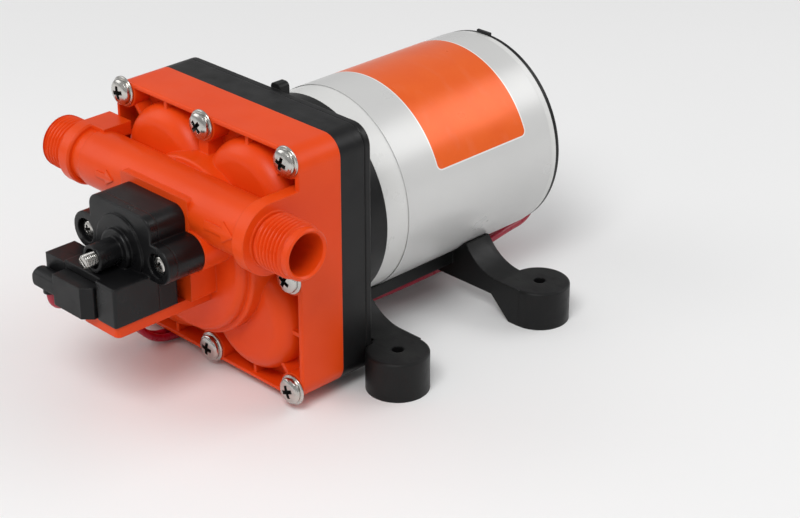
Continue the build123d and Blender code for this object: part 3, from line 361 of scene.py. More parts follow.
@dataclass(frozen=True)
class WrapFinish(Finish):
    """The film round the motor can, with its plain orange panel and the panel's pale border."""

    axis_height: float = 54.0
    radius: float = 41.85
    panel_colour: Colour = (0.84, 0.115, 0.010)
    panel_second_colour: Colour = (0.86, 0.125, 0.012)
    border_colour: Colour = (0.86, 0.86, 0.84)
    panel_front: float = 4.3
    panel_rear: float = 53.6
    panel_half_angle: float = 70.3
    panel_corner: float = 2.2
    border_width: float = 0.55
    edge_softness: float = 0.05
    ink_cloud: float = 9.0

    def base(self, graph: MaterialGraph) -> Socket:
        """The film's colour, with the panel laid over it by its distance from a rounded rectangle.

        Args:
            graph: The material in the making.

        Returns:
            The colour's socket.
        """
        axes = graph.axes()
        rise = graph.calc("SUBTRACT", axes["Z"], self.axis_height * MM)
        angle = graph.calc("ARCTAN2", axes["X"], rise)
        around = graph.calc("ABSOLUTE", graph.calc("MULTIPLY", angle, self.radius))
        middle = (self.panel_front + self.panel_rear) / 2
        along = graph.calc("MULTIPLY", axes["Y"], 1 / MM)
        along = graph.calc("ABSOLUTE", graph.calc("SUBTRACT", along, middle))
        half_around = math.radians(self.panel_half_angle) * self.radius - self.panel_corner
        half_along = (self.panel_rear - self.panel_front) / 2 - self.panel_corner
        past_around = graph.calc("SUBTRACT", around, half_around)
        past_along = graph.calc("SUBTRACT", along, half_along)
        out_around = graph.calc("MAXIMUM", past_around, 0.0)
        out_along = graph.calc("MAXIMUM", past_along, 0.0)
        square = graph.calc("ADD", graph.calc("POWER", out_around, 2.0), graph.calc("POWER", out_along, 2.0))
        inside = graph.calc("MINIMUM", graph.calc("MAXIMUM", past_around, past_along), 0.0)
        distance = graph.calc("SUBTRACT", graph.calc("ADD", graph.calc("SQRT", square), inside), self.panel_corner)
        soft = self.edge_softness
        in_border = graph.remap(distance, (self.border_width + soft, self.border_width - soft))
        in_panel = graph.remap(distance, (soft, -soft))
        film = super().base(graph)
        cloud = graph.remap(graph.noise(self.ink_cloud, 3.0), CLOUD_SPAN)
        ink = graph.mix(cloud, self.panel_colour, self.panel_second_colour)
        return graph.mix(in_panel, graph.mix(in_border, film, self.border_colour), ink)


@dataclass(frozen=True)
class StackedFinish(Finish):
    """A stack of thin steel sheets, seen as fine lines across the motor's axis."""

    sheet_size: float = 0.7

    def height(self, graph: MaterialGraph) -> Socket:
        """Lines between the sheets."""
        lines = graph.calc("MULTIPLY", graph.axes()["Y"], math.tau / (self.sheet_size * MM))
        return graph.calc("SINE", lines)


HEAD_PLASTIC = Finish(
    "orange_moulded_plastic", (0.78, 0.066, 0.005), (0.73, 0.056, 0.004), (0.86, 0.13, 0.03), 0.36,
    roughness_spread=0.05, cloud_size=34.0, grain_size=0.5, grain_depth=0.012, edge_radius=0.6, edge_wear=0.4,
    scuff_share=0.04, specular=0.22,
)
THREAD_PLASTIC = replace(HEAD_PLASTIC, name="orange_thread_plastic", edge_radius=0.1, grain_depth=0.006)
HOUSING_PLASTIC = Finish(
    "black_glass_filled_plastic", (0.0055, 0.0055, 0.006), (0.008, 0.008, 0.008), (0.035, 0.035, 0.035), 0.38,
    grain_size=0.45, grain_depth=0.03, edge_radius=0.6, edge_wear=0.5, scuff_share=0.08, specular=0.25,
)
SWITCH_PLASTIC = Finish(
    "black_satin_plastic", (0.0045, 0.0045, 0.005), (0.0065, 0.0065, 0.007), (0.035, 0.035, 0.036), 0.33,
    grain_size=0.35, grain_depth=0.018, edge_radius=0.9, edge_wear=0.45, scuff_share=0.05, specular=0.27,
)
FOOT_RUBBER = Finish(
    "black_foot_rubber", (0.0045, 0.0045, 0.005), (0.007, 0.007, 0.007), (0.03, 0.03, 0.03), 0.42,
    roughness_spread=0.1, grain_size=0.8, grain_depth=0.03, edge_radius=0.8, edge_wear=0.35, scuff_share=0.12,
    specular=0.25,
)
BOOT_RUBBER = Finish(
    "black_boot_rubber", (0.004, 0.004, 0.0045), (0.006, 0.006, 0.0065), (0.03, 0.03, 0.03), 0.38,
    roughness_spread=0.08, grain_size=0.5, grain_depth=0.02, edge_radius=0.7, edge_wear=0.35, specular=0.25,
)
SEAL_RUBBER = Finish(
    "grey_seal_rubber", (0.035, 0.036, 0.038), (0.05, 0.05, 0.052), (0.10, 0.10, 0.10), 0.55,
    grain_size=0.5, grain_depth=0.015, edge_radius=0.2,
)
INNER_PLASTIC = Finish(
    "grey_inner_plastic", (0.42, 0.43, 0.42), (0.48, 0.48, 0.46), (0.62, 0.62, 0.60), 0.45,
    grain_size=0.5, grain_depth=0.015,
)
BUTTON_PLASTIC = Finish(
    "red_button_plastic", (0.45, 0.02, 0.015), (0.5, 0.03, 0.02), (0.6, 0.1, 0.08), 0.4, grain_size=0.3,
)
SCREW_STEEL = Finish(
    "bright_nickel_plate", (0.60, 0.585, 0.55), (0.48, 0.47, 0.45), (0.80, 0.79, 0.76), 0.20, metallic=1.0,
    roughness_spread=0.07, cloud_size=5.0, grain_size=0.25, grain_depth=0.006, edge_radius=0.15, edge_wear=0.6,
    scuff_size=2.0, scuff_share=0.12,
)
GROUND_STEEL = TurnedFinish(
    "ground_steel", (0.55, 0.55, 0.56), (0.48, 0.48, 0.50), (0.75, 0.75, 0.76), 0.28, metallic=1.0,
    cloud_size=9.0, grain_size=0.3, grain_depth=0.006, edge_radius=0.2,
)
# Painted shade: a dark dull metal laid on the faces inside each cross recess, where shade falls in the recess.
RECESS_SHADE = Finish(
    "painted_recess_shade", (0.035, 0.034, 0.032), (0.05, 0.048, 0.045), (0.12, 0.12, 0.11), 0.6, metallic=1.0,
    cloud_size=2.0, grain_size=0.25, grain_depth=0.01, edge_radius=0.05,
)
CAN_PAINT = TurnedFinish(
    "white_painted_can", (0.68, 0.68, 0.665), (0.71, 0.71, 0.70), (0.78, 0.78, 0.77), 0.30,
    roughness_spread=0.04, cloud_size=30.0, grain_size=0.8, grain_depth=0.004, edge_radius=0.5, edge_wear=0.3,
    scuff_share=0.03, coat=0.2, coat_roughness=0.15,
)
WRAP_FILM = WrapFinish(
    "motor_wrap_film", (0.62, 0.62, 0.612), (0.65, 0.65, 0.642), (0.74, 0.74, 0.73), 0.30,
    metallic=0.15, roughness_spread=0.03, cloud_size=60.0, grain_size=1.6, grain_depth=0.005, edge_radius=0.15,
    edge_wear=0.1, scuff_size=14.0, scuff_share=0.02, coat=0.12, coat_roughness=0.2, specular=0.3,
)
CORE_STEEL = StackedFinish(
    "stacked_core_steel", (0.22, 0.22, 0.23), (0.27, 0.26, 0.25), (0.4, 0.4, 0.4), 0.4,
    metallic=0.9, grain_depth=0.05,
)
MAGNET_FERRITE = Finish(
    "grey_ferrite", (0.05, 0.05, 0.053), (0.08, 0.08, 0.08), (0.16, 0.16, 0.16), 0.6,
    grain_size=0.8, grain_depth=0.04,
)
WINDING_COPPER = TurnedFinish(
    "varnished_copper", (0.55, 0.20, 0.07), (0.45, 0.15, 0.05), (0.75, 0.36, 0.18), 0.3, metallic=0.9,
    ring_size=0.9, grain_depth=0.12, coat=0.5,
)
BRASS = Finish(
    "brass_and_bronze", (0.65, 0.42, 0.16), (0.55, 0.36, 0.15), (0.82, 0.6, 0.3), 0.32, metallic=1.0,
    cloud_size=6.0, grain_size=0.4, grain_depth=0.01,
)
BRUSH_CARBON = Finish(
    "pressed_carbon", (0.03, 0.03, 0.03), (0.045, 0.045, 0.045), (0.09, 0.09, 0.09), 0.55,
    grain_size=0.4, grain_depth=0.03,
)
LEAD_INSULATION = Finish(
    "crimson_lead_insulation", (0.42, 0.008, 0.035), (0.36, 0.006, 0.028), (0.55, 0.05, 0.08), 0.33,
    cloud_size=12.0, grain_size=0.6, grain_depth=0.01, edge_radius=0.2, coat=0.15,
)

NODE_FINISHES: dict[Finish, tuple[str, ...]] = {
    HEAD_PLASTIC: ("front_housing",),
    HOUSING_PLASTIC: ("diaphragm_housing", "drive_housing", "end_cap", "brush_card"),
    SWITCH_PLASTIC: ("switch_body", "switch_cap"),
    FOOT_RUBBER: ("base_saddle",),
    BOOT_RUBBER: ("front_terminal_boot", "rear_terminal_boot", "lead_grommet"),
    SEAL_RUBBER: ("chamber_seal", "inlet_valves", "outlet_valve", "diaphragm", "switch_diaphragm"),
    INNER_PLASTIC: ("valve_plate", "pistons", "wobble_plate", "switch_plunger", "spring_seat", "microswitch"),
    BUTTON_PLASTIC: ("microswitch_button",),
    SCREW_STEEL: (
        "housing_screws", "screw_washers", "switch_screws", "piston_screws", "base_screws", "through_bolts",
        "adjusting_screw",
    ),
    GROUND_STEEL: (
        "wobble_bearing_outer_ring", "wobble_bearing_inner_ring", "front_bearing_outer_ring",
        "front_bearing_inner_ring", "motor_shaft", "eccentric_bush", "pressure_spring", "inlet_side_brush_spring",
        "outlet_side_brush_spring",
    ),
    CAN_PAINT: ("motor_can",),
    WRAP_FILM: ("motor_label",),
    CORE_STEEL: ("armature_core",),
    MAGNET_FERRITE: ("field_magnets",),
    WINDING_COPPER: ("armature_windings", "commutator"),
    BRASS: ("rear_bush", "terminals"),
    BRUSH_CARBON: ("inlet_side_brush", "outlet_side_brush"),
    LEAD_INSULATION: ("motor_lead", "supply_lead"),
}


# Mesh making


def metres(point: Sequence[float]) -> Vector:
    """Turns millimetres into metres."""
    return Vector(point) * MM


def pointing(place: Sequence[float], direction: Sequence[float], turn: float = 0.0) -> Matrix:
    """The frame of a piece made along its own Z, from its place, where Z points and its turn in degrees."""
    lean = Vector(direction).to_track_quat("Z", "Y").to_matrix().to_4x4()
    return Matrix.Translation(metres(place)) @ lean @ Matrix.Rotation(math.radians(turn), 4, "Z")


def ring(place: Matrix, radii: Sequence[float], height: float) -> list[Vector]:
    """The points of a ring about a piece's own Z, evenly spaced.

    Args:
        place: The matrix from the piece's own axes to the frame's.
        radii: The distance of each point from Z.
        height: Where the ring lies along Z.

    Returns:
        The points in metres.
    """
    points = []
    for step, radius in enumerate(radii):
        turn = math.tau * step / len(radii)
        points.append(place @ metres((radius * math.cos(turn), radius * math.sin(turn), height)))
    return points


def oblong(half_length: float, half_width: float) -> list[tuple[float, float]]:
    """The corners of a rectangle about the origin."""
    signs = ((-1, -1), (1, -1), (1, 1), (-1, 1))
    return [(x * half_length, y * half_width) for x, y in signs]


def weave(build: bmesh.types.BMesh, lines: Sequence[Sequence[bmesh.types.BMVert]], closed: bool = True) -> None:
    """Fills the bands between neighbouring lines of points.

    Args:
        build: The mesh in the making.
        lines: Lines of as many points each.
        closed: Whether each line closes on itself.
    """
    for one, two in zip(lines, lines[1:]):
        for step in range(len(one) if closed else len(one) - 1):
            after = (step + 1) % len(one)
            corners = list(dict.fromkeys((one[step], one[after], two[after], two[step])))
            if len(corners) > 2:
                build.faces.new(corners)


def stand(name: str, data: bpy.types.ID) -> bpy.types.Object:
    """Puts an object in the scene.

    Args:
        name: Its name.
        data: Its mesh, curve, lamp or camera.

    Returns:
        The new object.
    """
    made = bpy.data.objects.new(name, data)
    bpy.context.scene.collection.objects.link(made)
    return made


class Workshop:
    """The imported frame, and the steps that every sub-assembly uses to make its pieces."""

    def __init__(self) -> None:
        """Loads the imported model."""
        self.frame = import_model()
        self.cad_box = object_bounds()

    def piece(
        self, name: str, mesh: Mesh, finish: Finish, body: str, slot: str, *nodes: str, crease: float = 34.0,
    ) -> bpy.types.Object:
        """Puts a mesh in the scene with its finish, smooth up to a crease angle, and fits it.

        Args:
            name: The piece's name.
            mesh: Its mesh, in the frame's place.
            finish: Its finish.
            body: The CAD body it moves with.
            slot: The record's material slot.
            *nodes: The CAD nodes that it replaces.
            crease: The angle in degrees from which an edge stays sharp.

        Returns:
            The new object.
        """
        mesh.name = name
        mesh.materials.clear()
        mesh.materials.append(finish.material())
        mesh.shade_smooth()
        mesh.set_sharp_from_angle(angle=math.radians(crease))
        made = stand(name, mesh)
        self.fit(made, body, slot, *nodes)
        LOG.info("made %s with %d faces", name, len(mesh.polygons))
        return made

    def fit(self, made: bpy.types.Object, body: str, slot: str, *nodes: str) -> None:
        """Rides a piece on its body and hides the CAD nodes that it stands for.

        Args:
            made: The piece.
            body: The CAD body it moves with.
            slot: The record's material slot; not used.
            *nodes: The CAD nodes that it replaces.
        """
        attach(made, body)
        if nodes:
            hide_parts(*nodes)

    def mesh_of(self, build: bmesh.types.BMesh) -> Mesh:
        """Turns a mesh in the making into a mesh, with its normals outwards.

        Args:
            build: The mesh in the making, freed here.

        Returns:
            The finished mesh.
        """
        bmesh.ops.recalc_face_normals(build, faces=build.faces)
        mesh = bpy.data.meshes.new("piece")
        build.to_mesh(mesh)
        build.free()
        return mesh

    def loft(self, rows: Sequence[Sequence[Vector]], looped: bool = False) -> Mesh:
        """Skins rows of points that each close on themselves.

        Args:
            rows: Rows of as many points each, in metres. A row whose points fall together is a pole.
            looped: Whether the last row meets the first, or else both are capped.

        Returns:
            The closed mesh.
        """
        build = bmesh.new()
        lines = [
            [build.verts.new(row[0])] * len(row) if row[0] == row[1] else [build.verts.new(point) for point in row]
            for row in rows
        ]
        if looped:
            lines.append(lines[0])
        else:
            build.faces.new(lines[0])
            build.faces.new(lines[-1])
        weave(build, lines)
        return self.mesh_of(build)

    def lathe(self, profile: Sequence[tuple[float, float]], place: Matrix, segments: int) -> Mesh:
        """Turns a closed profile of (radius, height) in millimetres about its own Z, in this many steps."""
        return self.loft([ring(place, [radius] * segments, height) for radius, height in profile], looped=True)

    def prism(self, outline: Sequence[tuple[float, float]], height: float, place: Matrix) -> Mesh:
        """Draws a flat outline out along its own Z, by a height in millimetres."""
        return self.loft([[place @ metres((x, y, level)) for x, y in outline] for level in (0.0, height)])

    def shell(self, sheets: Sequence[Sequence[Sequence[Vector]]]) -> Mesh:
        """Closes two matching sheets, one over the other, into a thin solid.

        Args:
            sheets: Both sheets, as rows of points in metres.

        Returns:
            The closed mesh.
        """
        build = bmesh.new()
        grids = [[[build.verts.new(point) for point in row] for row in sheet] for sheet in sheets]
        for grid in grids:
            weave(build, grid, closed=False)
        for end in (0, -1):
            weave(build, [grid[end] for grid in grids], closed=False)
            weave(build, [[row[end] for row in grid] for grid in grids], closed=False)
        return self.mesh_of(build)

    def solid_twin(self, node: str) -> Mesh:
        """A copy of a CAD node's mesh, with its doubled points joined and its empty edges dropped.

        Args:
            node: The node's name.

        Returns:
            The new mesh.
        """
        build = bmesh.new()
        build.from_mesh(self.frame["nodes"][node].data)
        bmesh.ops.remove_doubles(build, verts=build.verts, dist=DOUBLED * MM)
        bmesh.ops.dissolve_degenerate(build, dist=EMPTY * MM, edges=build.edges)
        points = [tuple(vert.co) for vert in build.verts]
        build.verts.index_update()
        faces = [[vert.index for vert in face.verts] for face in build.faces]
        build.free()
        mesh = bpy.data.meshes.new(node)
        mesh.from_pydata(points, [], faces)
        mesh.validate()
        return mesh

    def carve(self, mesh: Mesh, tools: Iterable[Mesh], reach: Reach = Reach.CUT) -> Mesh:
        """Cuts tools out of a mesh, or joins them to it.

        Args:
            mesh: The mesh to change.
            tools: The meshes that cut or join.
            reach: Whether they cut or join.

        Returns:
            The changed mesh.
        """
        stock = stand("stock", mesh)
        cutters = []
        for tool in tools:
            cutter = stand("cutter", tool)
            step = stock.modifiers.new("carve", "BOOLEAN")
            step.operation = reach.value
            step.solver = "EXACT"
            step.object = cutter
            cutters.append(cutter)
        bpy.context.view_layer.update()
        shaped = bpy.data.meshes.new_from_object(stock.evaluated_get(bpy.context.evaluated_depsgraph_get()))
        for spare in (stock, *cutters):
            bpy.data.objects.remove(spare)
        return shaped

    def joined(self, meshes: Iterable[Mesh]) -> Mesh:
        """Puts several meshes into one.

        Args:
            meshes: The meshes, whose places stay.

        Returns:
            One mesh.
        """
        build = bmesh.new()
        for mesh in meshes:
            build.from_mesh(mesh)
        whole = bpy.data.meshes.new("piece")
        build.to_mesh(whole)
        build.free()
        return whole


# The head


@dataclass
class ThreadedPort:
    """One threaded port: its helical ridges stand in a groove cut round the moulded stub."""

    shop: Workshop
    side: Side
    start: float
    end: float
    axis_y: float = -90.6
    axis_z: float = 76.1
    outer_radius: float = 10.4775
    root_radius: float = 9.2
    core_radius: float = 9.05
    sleeve_radius: float = 8.8
    pitch: float = 1.814
    fade: float = 1.2
    crest_height: float = 1.3  # over the thread's depth, so that its crest is flat
    flank_slope: float = 3.25
    steps_round: int = 72
    steps_per_pitch: int = 8

    def place(self) -> Matrix:
        """The port's frame, with Z out along its axis."""
        return pointing((0.0, self.axis_y, self.axis_z), (self.side.value, 0.0, 0.0))

    def groove(self) -> Mesh:
        """The ring that is cut from the stub to make room for the ridges."""
        over = self.outer_radius + OVERRUN
        profile = [
            (self.core_radius, self.start), (over, self.start), (over, self.end), (self.core_radius, self.end),
        ]
        return self.shop.lathe(profile, self.place(), self.steps_round)

    def ridge_radius(self, along: float, turn: float) -> float:
        """The thread's radius at a place.

        Args:
            along: The place along the axis, in millimetres.
            turn: The share of a turn.

        Returns:
            The radius in millimetres.
        """
        phase = (along / self.pitch - self.side.value * turn) % 1.0
        crest = min(1.0, max(0.0, self.crest_height - self.flank_slope * abs(phase - 0.5)))
        near_end = min(along - self.start, self.end - along) / self.fade
        share = crest * min(1.0, max(0.0, near_end))
        return self.root_radius + (self.outer_radius - self.root_radius) * share

    def ridges(self) -> Mesh:
        """The helical ridges, as one closed sleeve."""
        place = self.place()
        turns = [step / self.steps_round for step in range(self.steps_round)]
        count = int((self.end - self.start) / self.pitch * self.steps_per_pitch)
        rows = []
        for index in range(count + 1):
            along = self.start + (self.end - self.start) * index / count
            rows.append(ring(place, [self.ridge_radius(along, turn) for turn in turns], along))
        rows += [ring(place, [self.sleeve_radius] * self.steps_round, along) for along in (self.end, self.start)]
        return self.shop.loft(rows, looped=True)

    def dress(self) -> None:
        """Adds the ridges to the scene."""
        name = f"{self.side.name.lower()}_thread_ridges"
        self.shop.piece(name, self.ridges(), THREAD_PLASTIC, "pump_body", "orange_plastic", crease=60.0)


@dataclass
class FlowArrow:
    """A raised arrow moulded round the front of a port's tube, pointing the way the water goes."""

    shop: Workshop
    name: str
    centre_x: float
    tilt: float
    length: float = 15.5
    head_length: float = 6.5
    head_half: float = 4.0
    bar_half: float = 1.6
    tip_half: float = 0.15
    rise: float = 0.5
    sink: float = 0.4
    tube_radius: float = 11.3
    tube_y: float = -90.6
    tube_z: float = 76.1
    neck_step: float = 0.02  # along the tube, from the bar's width to the head's
    steps_across: int = 10

    def stations(self) -> list[tuple[float, float]]:
        """The arrow's places along X, each with its half width."""
        start = self.centre_x - self.length / 2
        neck = start + self.length - self.head_length
        return [
            (start, self.bar_half), (neck, self.bar_half), (neck + self.neck_step, self.head_half),
            (start + self.length, self.tip_half),
        ]

    def spot(self, x: float, across: float, radius: float) -> Vector:
        """A place on the tube, by its X, its millimetres round from the arrow's middle and its radius."""
        angle = math.radians(self.tilt) + across / self.tube_radius
        return metres((x, self.tube_y - radius * math.cos(angle), self.tube_z + radius * math.sin(angle)))

    def dress(self) -> None:
        """Adds the arrow to the scene."""
        shares = [2 * step / self.steps_across - 1 for step in range(self.steps_across + 1)]
        sheets = [
            [[self.spot(x, half * share, radius) for share in shares] for x, half in self.stations()]
            for radius in (self.tube_radius - self.sink, self.tube_radius + self.rise)
        ]
        self.shop.piece(self.name, self.shop.shell(sheets), HEAD_PLASTIC, "pump_body", "orange_plastic")


@dataclass
class CrossHeadScrews:
    """Pan head screws with a cross recess, which stand for one CAD node."""

    shop: Workshop
    node: str
    places: list[Point]
    direction: Point
    head_radius: float
    head_height: float
    shank_radius: float
    length: float
    recess_length: float
    recess_width: float
    recess_depth: float
    turns: tuple[float, ...] = (12.0, 48.0, 75.0, 30.0, 64.0, 5.0, 83.0, 22.0)
    steps_round: int = 48
    dome_steps: int = 7
    dome_power: float = 0.8
    rim_top: float = 0.34  # heights here are shares of the head's height
    rim_foot: float = 0.12
    foot_share: float = 0.97  # of the head's radius
    tip_share: float = 0.3  # of the shank's radius
    wing_top: float = 1.3
    wing_mouth: float = 1.1  # shares of the recess's length at its mouth and floor
    wing_floor: float = 0.6
    wing_least_width: float = 0.7
    skin: float = 0.12
    recess_reach: float = 0.8  # of the head's radius

    def dome(self, turn: float) -> float:
        """The height of the head's dome, where the turn's sine is the share of the head's radius."""
        rim = self.head_height * self.rim_top
        return rim + (self.head_height - rim) * math.cos(turn) ** self.dome_power

    def head_profile(self) -> list[tuple[float, float]]:
        """The screw's half section, from the top of its head down to the end of its shank."""
        points = [(0.0, self.head_height)]
        for step in range(1, self.dome_steps):
            turn = math.pi / 2 * step / self.dome_steps
            points.append((self.head_radius * math.sin(turn), self.dome(turn)))
        head, height, shank, end = self.head_radius, self.head_height, self.shank_radius, -self.length
        tip = shank * self.tip_share
        return points + [
            (head, height * self.rim_top), (head, height * self.rim_foot), (head * self.foot_share, 0.0),
            (shank, 0.0), (shank, end + tip), (shank - tip, end), (0.0, end),
        ]

    def recess(self) -> list[Mesh]:
        """Two tapered wings that cut the cross."""
        floor = self.head_height - self.recess_depth
        levels = ((self.head_height * self.wing_top, self.wing_mouth), (floor, self.wing_floor))
        wings = []
        for turn in (0.0, 90.0):
            spin = Matrix.Rotation(math.radians(turn), 4, "Z")
            rows = []
            for height, share in levels:
                half = self.recess_length / 2 * share
                wide = self.recess_width / 2 * max(share, self.wing_least_width)
                rows.append([spin @ metres((x, y, height)) for x, y in oblong(half, wide)])
            wings.append(self.shop.loft(rows))
        return wings

    def in_recess(self, centre: Vector) -> bool:
        """Whether a face of the blank screw lies in its cross recess.

        Args:
            centre: The middle of the face, in millimetres.

        Returns:
            True in the recess.
        """
        radius = math.hypot(centre.x, centre.y)
        floor = self.head_height - self.recess_depth
        if centre.z < floor - self.skin or radius > self.head_radius * self.recess_reach:
            return False
        return centre.z < self.dome(math.asin(radius / self.head_radius)) - self.skin

    def dress(self) -> None:
        """Makes one screw, sets copies of it at every place and joins them."""
        blank = self.shop.lathe(self.head_profile(), Matrix.Identity(4), self.steps_round)
        one = self.shop.carve(blank, self.recess())
        hollow = [self.in_recess(face.center / MM) for face in one.polygons]
        copies = []
        for index, place in enumerate(self.places):
            copy = one.copy()
            copy.transform(pointing(place, self.direction, self.turns[index % len(self.turns)]))
            copies.append(copy)
        made = self.shop.piece(
            f"cross_head_{self.node}", self.shop.joined(copies), SCREW_STEEL, "pump_body", "bright_steel",
            self.node, crease=28.0,
        )
        # The faces inside each cross recess get RECESS_SHADE, a painted shade over the plated metal.
        made.data.materials.append(RECESS_SHADE.material())
        made.data.polygons.foreach_set("material_index", [int(inside) for inside in hollow] * len(self.places))


@dataclass
class Head:
    """The orange front housing with its ports, arrows, screws and washers."""

    shop: Workshop
    lip_y: float = -78.0
    axis_z: float = 54.0
    screw_pitch: float = 45.8
    washer_outer: float = 5.9
    washer_inner: float = 2.5
    washer_thickness: float = 0.9
    washer_edge: float = 0.25
    washer_steps: int = 56
    port_y: float = -90.6
    port_z: float = 76.1
    collar_radius: float = 12.3
    collar_bore: float = 9.0
    collar_outer_x: float = 56.9
    collar_edge: float = 0.7
    collar_inner_x: float = 50.7
    ear_inner_x: float = 43.0
    ear_bottom: float = 7.0
    ear_top: float = 12.3
    ear_rear_y: float = -77.8
    collar_steps: int = 96

    def screw_places(self) -> list[Point]:
        """Where the eight screws' heads bear on their washers."""
        rear = self.lip_y - self.washer_thickness
        return [
            (column * self.screw_pitch, rear, self.axis_z + row * self.screw_pitch)
            for row in (1, 0, -1)
            for column in (-1, 0, 1)
            if (column, row) != (0, 0)
        ]

    def washers(self) -> None:
        """Washers with softened edges."""
        soft = self.washer_edge
        profile = [
            (self.washer_inner, 0.0), (self.washer_outer - soft, 0.0), (self.washer_outer, soft),
            (self.washer_outer, self.washer_thickness - soft), (self.washer_outer - soft, self.washer_thickness),
            (self.washer_inner, self.washer_thickness),
        ]
        rings = []
        for x, _, z in self.screw_places():
            place = pointing((x, self.lip_y, z), (0.0, -1.0, 0.0))
            rings.append(self.shop.lathe(profile, place, self.washer_steps))
        whole = self.shop.joined(rings)
        self.shop.piece(
            "soft_edged_washers", whole, SCREW_STEEL, "pump_body", "bright_steel", "screw_washers", crease=50.0,
        )

    def inlet_collar(self) -> None:
        """The shoulder behind the inlet's thread, and the ear that ties its top back to the head's lip."""
        soft = self.collar_edge
        inner, outer, radius = self.collar_inner_x, self.collar_outer_x, self.collar_radius
        profile = [
            (self.collar_bore, inner), (radius - soft, inner), (radius, inner + soft),
            (radius, outer - soft), (radius - soft, outer), (self.collar_bore, outer),
        ]
        place = pointing((0.0, self.port_y, self.port_z), (-1.0, 0.0, 0.0))
        collar = self.shop.lathe(profile, place, self.collar_steps)
        depth = self.ear_rear_y - self.port_y
        outline = [(0.0, self.ear_bottom), (depth, self.ear_bottom), (depth, self.ear_top), (0.0, self.ear_top)]
        axes = Matrix(((0.0, 0.0, -1.0), (1.0, 0.0, 0.0), (0.0, 1.0, 0.0))).to_4x4()
        start = Matrix.Translation(metres((-self.ear_inner_x, self.port_y, self.port_z))) @ axes
        ear = self.shop.prism(outline, outer - self.ear_inner_x - soft, start)
        mesh = self.shop.carve(collar, [ear], Reach.JOIN)
        self.shop.piece("inlet_collar", mesh, HEAD_PLASTIC, "pump_body", "orange_plastic")

    def housing(self, ports: list[ThreadedPort]) -> None:
        """The housing with the room for the threads cut round its stubs.

        Args:
            ports: The ports whose ridges it holds.
        """
        mesh = self.shop.carve(self.shop.solid_twin("front_housing"), [port.groove() for port in ports])
        self.shop.piece(
            "moulded_front_housing", mesh, HEAD_PLASTIC, "pump_body", "orange_plastic", "front_housing",
            crease=24.0,
        )

    def dress(self) -> None:
        """Builds the whole head."""
        ports = [
            ThreadedPort(self.shop, Side.INLET, 56.8, 68.9),
            ThreadedPort(self.shop, Side.OUTLET, 52.0, 66.3),
        ]
        self.housing(ports)
        self.inlet_collar()
        for port in ports:
            port.dress()
        self.washers()
        CrossHeadScrews(
            self.shop, "housing_screws", self.screw_places(), (0.0, -1.0, 0.0),
            head_radius=5.0, head_height=2.6, shank_radius=2.4, length=30.9, recess_length=5.6, recess_width=1.6,
            recess_depth=2.1,
        ).dress()
        FlowArrow(
            self.shop, "inlet_flow_arrow", -29.0, 6.0, length=10.0, head_length=4.5, head_half=3.0, bar_half=1.2,
        ).dress()
        FlowArrow(self.shop, "outlet_flow_arrow", 36.0, 8.0).dress()


# The motor and its base


@dataclass
class Motor:
    """The can's wrap, and the through bolts that hold the motor."""

    shop: Workshop
    axis_z: float = 54.0
    wrap_inner: float = 41.65
    wrap_thickness: float = 0.2
    wrap_front: float = -14.0
    wrap_rear: float = 67.3
    seam_angle: float = 1.6
    steps_round: int = 180
    steps_along: int = 24
    bolt_circle: float = 36.6
    cap_rear: float = 72.8

    def spot(self, radius: float, share: float, y: float) -> Vector:
        """A place on the wrap, by its radius, its share of the way round the film and its Y."""
        angle = math.radians((360.0 - self.seam_angle) * (share - 0.5))
        return metres((radius * math.sin(angle), y, self.axis_z + radius * math.cos(angle)))

    def wrap(self) -> None:
        """The film round the can, whose two ends meet underneath."""
        shares = [step / self.steps_round for step in range(self.steps_round + 1)]
        reach = self.wrap_rear - self.wrap_front
        places = [self.wrap_front + reach * step / self.steps_along for step in range(self.steps_along + 1)]
        sheets = [
            [[self.spot(radius, share, y) for share in shares] for y in places]
            for radius in (self.wrap_inner, self.wrap_inner + self.wrap_thickness)
        ]
        mesh = self.shop.shell(sheets)
        self.shop.piece("motor_wrap", mesh, WRAP_FILM, "pump_body", "label_film", "motor_label", crease=40.0)

    def dress(self) -> None:
        """Builds the wrap and the through bolts at the rear."""
        self.wrap()
        places = [(0.0, self.cap_rear, self.axis_z + rise) for rise in (self.bolt_circle, -self.bolt_circle)]
        CrossHeadScrews(
            self.shop, "through_bolts", places, (0.0, 1.0, 0.0),
            head_radius=3.4, head_height=2.3, shank_radius=1.9, length=100.9, recess_length=4.2, recess_width=1.0,
            recess_depth=1.5,
        ).dress()


# The pressure switch


